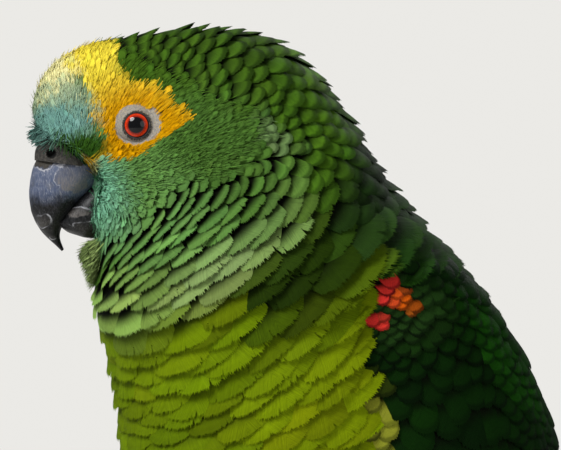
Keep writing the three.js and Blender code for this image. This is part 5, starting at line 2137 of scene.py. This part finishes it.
def claw_pieces(side, material):
    sign = SIDES[side]
    for toe, (way, _, tip, sweep, _, thin, _) in TOE_FORMS.items():
        place = round_perch(way, math.radians(sweep + 0.6), thin, sign * (FOOT_LATERAL + tip))
        share = np.linspace(0, 1, CLAW_STEPS)
        heading = np.radians(sweep) + np.radians(CLAW_BEND) * share
        step = CLAW_LENGTH / (CLAW_STEPS - 1)
        moves = np.stack([way * np.cos(heading), 0 * heading, -np.sin(heading)], -1)[:-1] * step
        path = np.concatenate([[place], place + np.cumsum(moves, 0)])
        made = limb(f"talon_{side}_{toe}", path, 0.88 * thin * (1 - share**1.25) + 0.16, 28)
        finish_piece(made, material, (f"claw_{side}_{toe}",))


def feet_pieces(sizes, palette):
    def scaled(g):
        place = g.place()
        scales = g.voronoi(place, 1150.0, "DISTANCE_TO_EDGE")
        tint = g.noise(place, 260.0, 3.0)
        colour = g.mix(g.ramp(tint, 0.3, 0.7), palette.foot, g.times(palette.foot, (0.62, 0.6, 0.58)))
        colour = g.mix(g.ramp(scales, 0.0, 0.09, 0.75, 0.0), colour, (0.05, 0.045, 0.04))
        return {"Base Color": colour, "Height": g.ramp(scales, 0.0, 0.22)}

    def horn(g):
        grain = g.noise(g.place(), 700.0, 4.0, 0.7)
        colour = g.mix(g.ramp(grain, 0.4, 0.75), palette.claw, g.times(palette.claw, (3.2, 3.0, 2.8)))
        return {"Base Color": colour, "Height": grain}

    skin = surface("Foot skin", scaled, 0.8, 0.0003, Roughness=0.6)
    claw = surface("Claw horn", horn, 0.25, 0.0002, **{"Roughness": 0.3, "Coat Weight": 0.3})
    for side in SIDES:
        foot_piece(side, skin)
        claw_pieces(side, claw)


# Stand


BASE_U, BASE_LENGTH, BASE_WIDTH, BASE_HEIGHT, BASE_BEVEL = 51.4, 184.0, 150.0, 12.0, 2.5
BASE_FOOT = ((60.0, 0.0), (0.9, 0.0), (0.3, 0.25), (0.0, 0.9))  # inset and height
ROD_RADIUS, ROD_LATERAL, ROD_SOCKET = 4.0, 40.0, 6.0
COLLAR = ((0, 0), (1.9, 0), (2.2, 0.4), (2.2, 2.2), (1.8, 2.6), (0, 2.7))  # out from the rod, up from the base
BARK_FURROW, BARK_EASE = 0.55, 0.12
CAP_RINGS = (0.3, 0.65)  # shares of the branch's radius at which its cut ends have points


def turned(name, u, v, half_length, half_width, outline, sides):
    """A piece turned to an outline of inset and height, oval in plan."""
    turn = full_turn(sides)
    rings = [
        to_world(u + (half_length - inset) * np.cos(turn), v + (half_width - inset) * np.sin(turn), height)
        for inset, height in outline
    ]
    return tube_mesh(name, np.array(rings))


def sharp_edges(made, angle):
    """Smooth faces, with sharp edges where the form turns by more than an angle."""
    with bpy.context.temp_override(active_object=made, selected_editable_objects=[made], object=made):
        bpy.ops.object.shade_smooth_by_angle(angle=math.radians(angle))
    return made


def wood_material(palette):
    """Stained and varnished wood with its grain along x."""

    def build(g):
        x, y, z = g.parts(g.place())
        warp = g.noise(g.vector(x, y * 7.0, z * 7.0), 14.0, 4.0, 0.55)
        rings = g.math("SINE", y * 900.0 + warp * 22.0)
        pores = g.noise(g.vector(x, y * 22.0, z * 22.0), 90.0, 3.0, 0.7)
        tone = g.ramp(rings * 0.28 + pores * 0.9, 0.1, 0.9)
        dark = g.times(palette.base_wood, (0.45, 0.4, 0.36))
        light = g.times(palette.base_wood, (1.35, 1.3, 1.2))
        roughness = g.ramp(tone, 0.0, 1.0, 0.42, 0.3)
        return {"Base Color": g.mix(tone, dark, light), "Height": pores, "Roughness": roughness}

    return surface("Base wood", build, 0.12, 0.0002, **{"Coat Weight": 0.5, "Coat Roughness": 0.15})


def steel_material(side, palette):
    """Steel brushed round the rod."""

    def build(g):
        x, y, z = g.parts(g.place())
        lines = g.noise(g.vector(x * 0.2, y * 0.2, z * 40.0), 160.0, 3.0)
        colour = g.shade(palette.steel, g.ramp(lines, 0.3, 0.7, 0.82, 1.05))
        return {"Base Color": colour, "Height": lines, "Roughness": g.ramp(lines, 0.3, 0.7, 0.25, 0.42)}

    return surface(f"Rod steel {side}", build, 0.08, 0.0001, Metallic=1.0)


def stand_pieces(sizes, palette):
    quarter = np.linspace(math.pi / 2, 0, 9)
    bevel = [(BASE_BEVEL * (1 - math.sin(a)), BASE_HEIGHT - BASE_BEVEL * (1 - math.cos(a))) for a in quarter]
    outline = [*BASE_FOOT, *bevel, (30.0, BASE_HEIGHT), (60.0, BASE_HEIGHT)]
    base = sharp_edges(turned("base_plate", BASE_U, 0, BASE_LENGTH / 2, BASE_WIDTH / 2, outline, 160), 40)
    finish_piece(base, wood_material(palette), ("stand_base",))
    low, high = BASE_HEIGHT - ROD_SOCKET, PERCH_Z - PERCH_RADIUS + ROD_SOCKET
    outline = [(0, low)] + [(-out, BASE_HEIGHT + up) for out, up in COLLAR] + [(0, high)]
    for side, sign in SIDES.items():
        rod = turned(f"rod_{side}", PERCH_U, sign * ROD_LATERAL, ROD_RADIUS, ROD_RADIUS, outline, 64)
        finish_piece(sharp_edges(rod, 30), steel_material(side, palette), (f"stand_rod_{side}",))
    perch_piece(palette)


def perch_piece(palette):
    """A cut length of branch, round where the feet hold it and uneven toward its ends."""
    rows, sides = 300, 200
    v = np.linspace(-PERCH_HALF_LENGTH, PERCH_HALF_LENGTH, rows)[:, None]
    turn = full_turn(sides)[None]
    away = smoothstep(np.abs(v), 30, PERCH_HALF_LENGTH)
    knot = 1 + away * (0.05 * np.cos(2 * turn + v * 0.05) + 0.04 * np.sin(3 * turn - v * 0.07))
    bark = np.stack(np.broadcast_arrays(13 * np.cos(turn), 13 * np.sin(turn), v * 0.28), -1)
    furrow = np.abs(wavy(bark, 0.55, 1.0)) + 0.5 * np.abs(wavy(bark, 1.3, 4.0))
    radius = PERCH_RADIUS * knot - BARK_FURROW * np.clip(0.75 - furrow, 0, 1) - BARK_EASE
    radius = radius - 0.7 * np.clip(1 - (PERCH_HALF_LENGTH - np.abs(v)) / 0.8, 0, 1)
    rings = to_world(PERCH_U + radius * np.cos(turn), v + 0 * turn, PERCH_Z + radius * np.sin(turn))

    def capped(grid, start, end):
        """A grid of rings with smaller ones added across both ends."""
        caps = [[middle + (ring - middle) * share for share in CAP_RINGS] for ring, middle in (start, end)]
        return np.concatenate([caps[0], grid, caps[1][::-1]])

    points = capped(rings, (rings[0], rings[0].mean(0)), (rings[-1], rings[-1].mean(0)))
    made = sharp_edges(tube_mesh("perch_branch", points), 50)
    bark = capped(bark, (bark[0], 0), (bark[-1], 0)).reshape(-1, 3)
    cut = np.ones((rows + 2 * len(CAP_RINGS), sides))
    cut[len(CAP_RINGS) : -len(CAP_RINGS)] = 0
    add_attribute(made, "cut", "FLOAT", np.append(cut.ravel(), (1.0, 1.0)))
    add_attribute(made, "bark", "FLOAT_VECTOR", np.concatenate([bark, np.zeros((2, 3))]))

    def build(g):
        place = g.attribute("bark")
        x, y, z = g.parts(place)
        plates = g.voronoi(g.vector(x, y, z * 1.2), 0.42, "DISTANCE_TO_EDGE")
        rough = g.noise(g.vector(x, y, z * 1.6), 0.9, 6.0, 0.7)
        stain = g.noise(place, 0.12, 3.0)
        colour = g.mix(g.ramp(rough, 0.3, 0.7), g.times(palette.bark, (0.42, 0.38, 0.34)), palette.bark)
        colour = g.mix(g.ramp(stain, 0.5, 0.7, 0.0, 0.5), colour, (0.30, 0.29, 0.25))
        colour = g.mix(g.ramp(plates, 0.0, 0.12, 0.8, 0.0), colour, (0.05, 0.035, 0.025))
        rings = g.math("SINE", (g.distance(x, y) + stain * 2.0) * 5.5)
        wood = g.mix(g.ramp(rings, -1.0, 1.0), (0.50, 0.36, 0.20), (0.30, 0.19, 0.10))
        end = g.ramp(g.attribute("cut", "Fac"), 0.4, 0.9)
        height = g.ramp(plates, 0.0, 0.2) + rough
        return {"Base Color": g.mix(end, colour, wood), "Height": height}

    finish_piece(made, surface("Bark", build, 0.8, 0.0006, Roughness=0.85), ("stand_perch",))


# Stage


CAMERA_PLACE = (-23.95, -1527.0, 289.5)
CAMERA_AWAY, FRAME_WIDTH, SENSOR_WIDTH = 1500.0, 168.3, 36.0
IMAGE_SIZE = (561, 450)
FLOOR_RADIUS, FLOOR_DROP = 1350, -0.2
LIT_MIDDLE = (-0.04, -0.02, 0.27)
LIGHTS = {  # place, size and power
    "Key": ((-0.85, -0.95, 1.35), 0.8, 27.0),
    "Fill": ((1.0, -1.3, 0.6), 1.2, 5.0),
    "Back": ((0.45, 1.2, 1.2), 0.9, 12.0),
}
WORLD_LIGHT, WORLD_SEEN = (0.92, 0.94, 0.96), (0.83, 0.82, 0.79)
WORLD_STRENGTH = 0.26


def add_object(name, data, place):
    made = bpy.data.objects.new(name, data)
    bpy.context.collection.objects.link(made)
    made.location = place
    return made


def area_light(name, place, size, power):
    lamp = bpy.data.lights.new(name, "AREA")
    lamp.shape, lamp.size, lamp.energy = "DISK", size, power
    made = add_object(name, lamp, place)
    made.rotation_euler = (Vector(LIT_MIDDLE) - made.location).to_track_quat("-Z", "Y").to_euler()
    return made


def studio_floor(palette):
    sides = 128
    turn, ring = full_turn(sides), np.arange(sides)
    edge = np.stack([FLOOR_RADIUS * np.cos(turn), FLOOR_RADIUS * np.sin(turn), np.full(sides, FLOOR_DROP)], -1)
    fan = np.stack([np.full(sides, sides), ring, (ring + 1) % sides], -1)
    floor = make_mesh("studio_floor", np.concatenate([edge, [[0, 0, FLOOR_DROP]]]), [fan], False)

    def build(g):
        grain = g.noise(g.place(), 60.0, 3.0)
        return {"Base Color": g.shade(palette.floor, g.ramp(grain, 0.3, 0.7, 0.97, 1.0))}

    floor.data.materials.append(surface("Floor", build, Roughness=0.7))
    return floor


def studio_camera():
    lens = bpy.data.cameras.new("Camera")
    lens.sensor_width = SENSOR_WIDTH
    lens.lens = SENSOR_WIDTH * CAMERA_AWAY / FRAME_WIDTH
    lens.clip_start, lens.clip_end = 0.05, 50
    camera = add_object("Camera", lens, Vector(CAMERA_PLACE) * MM)
    camera.rotation_euler = (math.radians(90), 0, 0)
    return camera


def studio_world():
    """A pale backdrop for the camera and a dimmer, even light for the rest."""
    world = bpy.data.worlds.new("Studio")
    world.use_nodes = True
    graph = Graph(world.node_tree)
    shader = world.node_tree.nodes["Background"]
    path = graph.add("ShaderNodeLightPath").outputs
    seen = graph.math("MAXIMUM", path["Is Camera Ray"], path["Is Transmission Ray"])
    graph.set(shader.inputs["Color"], graph.mix(seen, WORLD_LIGHT, WORLD_SEEN))
    graph.set(shader.inputs["Strength"], graph.ramp(seen, 0.0, 1.0, WORLD_STRENGTH, 1.0))
    return world


def studio(sizes, palette):
    scene = bpy.context.scene
    floor = studio_floor(palette)
    lights = [area_light(name, *settings) for name, settings in LIGHTS.items()]
    scene.camera = studio_camera()
    scene.world = studio_world()
    scene.render.engine = "CYCLES"
    scene.cycles.samples = 64
    scene.cycles.use_denoising = True
    scene.cycles.max_bounces = 6
    scene.render.resolution_x, scene.render.resolution_y = IMAGE_SIZE
    scene.render.resolution_percentage = 100
    scene.view_settings.view_transform = "Standard"
    scene.view_settings.look = "None"
    scene.view_settings.exposure, scene.view_settings.gamma = 0, 1


# Operators and panel


def build(context, make):
    """Runs the function that makes a piece with the scene's sizes and colours."""
    scene = context.scene
    make(Sizes(scene.parrot_sizes), Palette(scene.parrot_colours))
    return {"FINISHED"}


class PARROT_OT_skin(bpy.types.Operator):
    """Make the skin of the head, neck, trunk and thighs"""

    bl_idname = "parrot.skin"
    bl_label = "Skin"

    def execute(self, context):
        return build(context, skin_piece)


class PARROT_OT_body_coat(bpy.types.Operator):
    """Grow the feathers of the head, neck and trunk"""

    bl_idname = "parrot.body_coat"
    bl_label = "Head and body feathers"

    def execute(self, context):
        return build(context, body_coat)


class PARROT_OT_thigh_coat(bpy.types.Operator):
    """Grow the feathers of the thighs"""

    bl_idname = "parrot.thigh_coat"
    bl_label = "Thigh feathers"

    def execute(self, context):
        return build(context, thigh_coat)


class PARROT_OT_wings(bpy.types.Operator):
    """Lay the coverts, secondaries and primaries of both wings"""

    bl_idname = "parrot.wings"
    bl_label = "Wings"

    def execute(self, context):
        return build(context, wing_pieces)


class PARROT_OT_tail(bpy.types.Operator):
    """Lay the twelve tail feathers"""

    bl_idname = "parrot.tail"
    bl_label = "Tail"

    def execute(self, context):
        return build(context, tail_piece)


class PARROT_OT_eyes(bpy.types.Operator):
    """Make the eyeballs, lids and bare rings"""

    bl_idname = "parrot.eyes"
    bl_label = "Eyes"

    def execute(self, context):
        return build(context, eye_pieces)


class PARROT_OT_bill(bpy.types.Operator):
    """Make the bill and cere"""

    bl_idname = "parrot.bill"
    bl_label = "Bill and cere"

    def execute(self, context):
        return build(context, bill_pieces)


class PARROT_OT_feet(bpy.types.Operator):
    """Make the feet and claws"""

    bl_idname = "parrot.feet"
    bl_label = "Feet and claws"

    def execute(self, context):
        return build(context, feet_pieces)


class PARROT_OT_stand(bpy.types.Operator):
    """Make the base, rods and branch"""

    bl_idname = "parrot.stand"
    bl_label = "Stand"

    def execute(self, context):
        return build(context, stand_pieces)


class PARROT_OT_stage(bpy.types.Operator):
    """Set the floor, lights, camera and render settings"""

    bl_idname = "parrot.stage"
    bl_label = "Stage"

    def execute(self, context):
        return build(context, studio)


OPERATORS = (
    PARROT_OT_skin,
    PARROT_OT_body_coat,
    PARROT_OT_thigh_coat,
    PARROT_OT_wings,
    PARROT_OT_tail,
    PARROT_OT_eyes,
    PARROT_OT_bill,
    PARROT_OT_feet,
    PARROT_OT_stand,
    PARROT_OT_stage,
)


class PARROT_PT_panel(bpy.types.Panel):
    """Lists the parrot's pieces in the sidebar"""

    bl_label = "Parrot"
    bl_idname = "PARROT_PT_panel"
    bl_space_type = "VIEW_3D"
    bl_region_type = "UI"
    bl_category = "Parrot"

    def draw(self, context):
        for operator in OPERATORS:
            self.layout.operator(operator.bl_idname)
        for key in ParrotSizes.__annotations__:
            self.layout.prop(context.scene.parrot_sizes, key)
        for key in ParrotColours.__annotations__:
            self.layout.prop(context.scene.parrot_colours, key)


CLASSES = (ParrotColours, ParrotSizes, *OPERATORS, PARROT_PT_panel)


def register():
    for made in CLASSES:
        bpy.utils.register_class(made)
    bpy.types.Scene.parrot_colours = PointerProperty(type=ParrotColours)
    bpy.types.Scene.parrot_sizes = PointerProperty(type=ParrotSizes)


def unregister():
    del bpy.types.Scene.parrot_sizes
    del bpy.types.Scene.parrot_colours
    for made in reversed(CLASSES):
        bpy.utils.unregister_class(made)


def main():
    register()
    for operator in OPERATORS:
        group, name = operator.bl_idname.split(".")
        getattr(getattr(bpy.ops, group), name)()


if __name__ == "__main__":
    main()
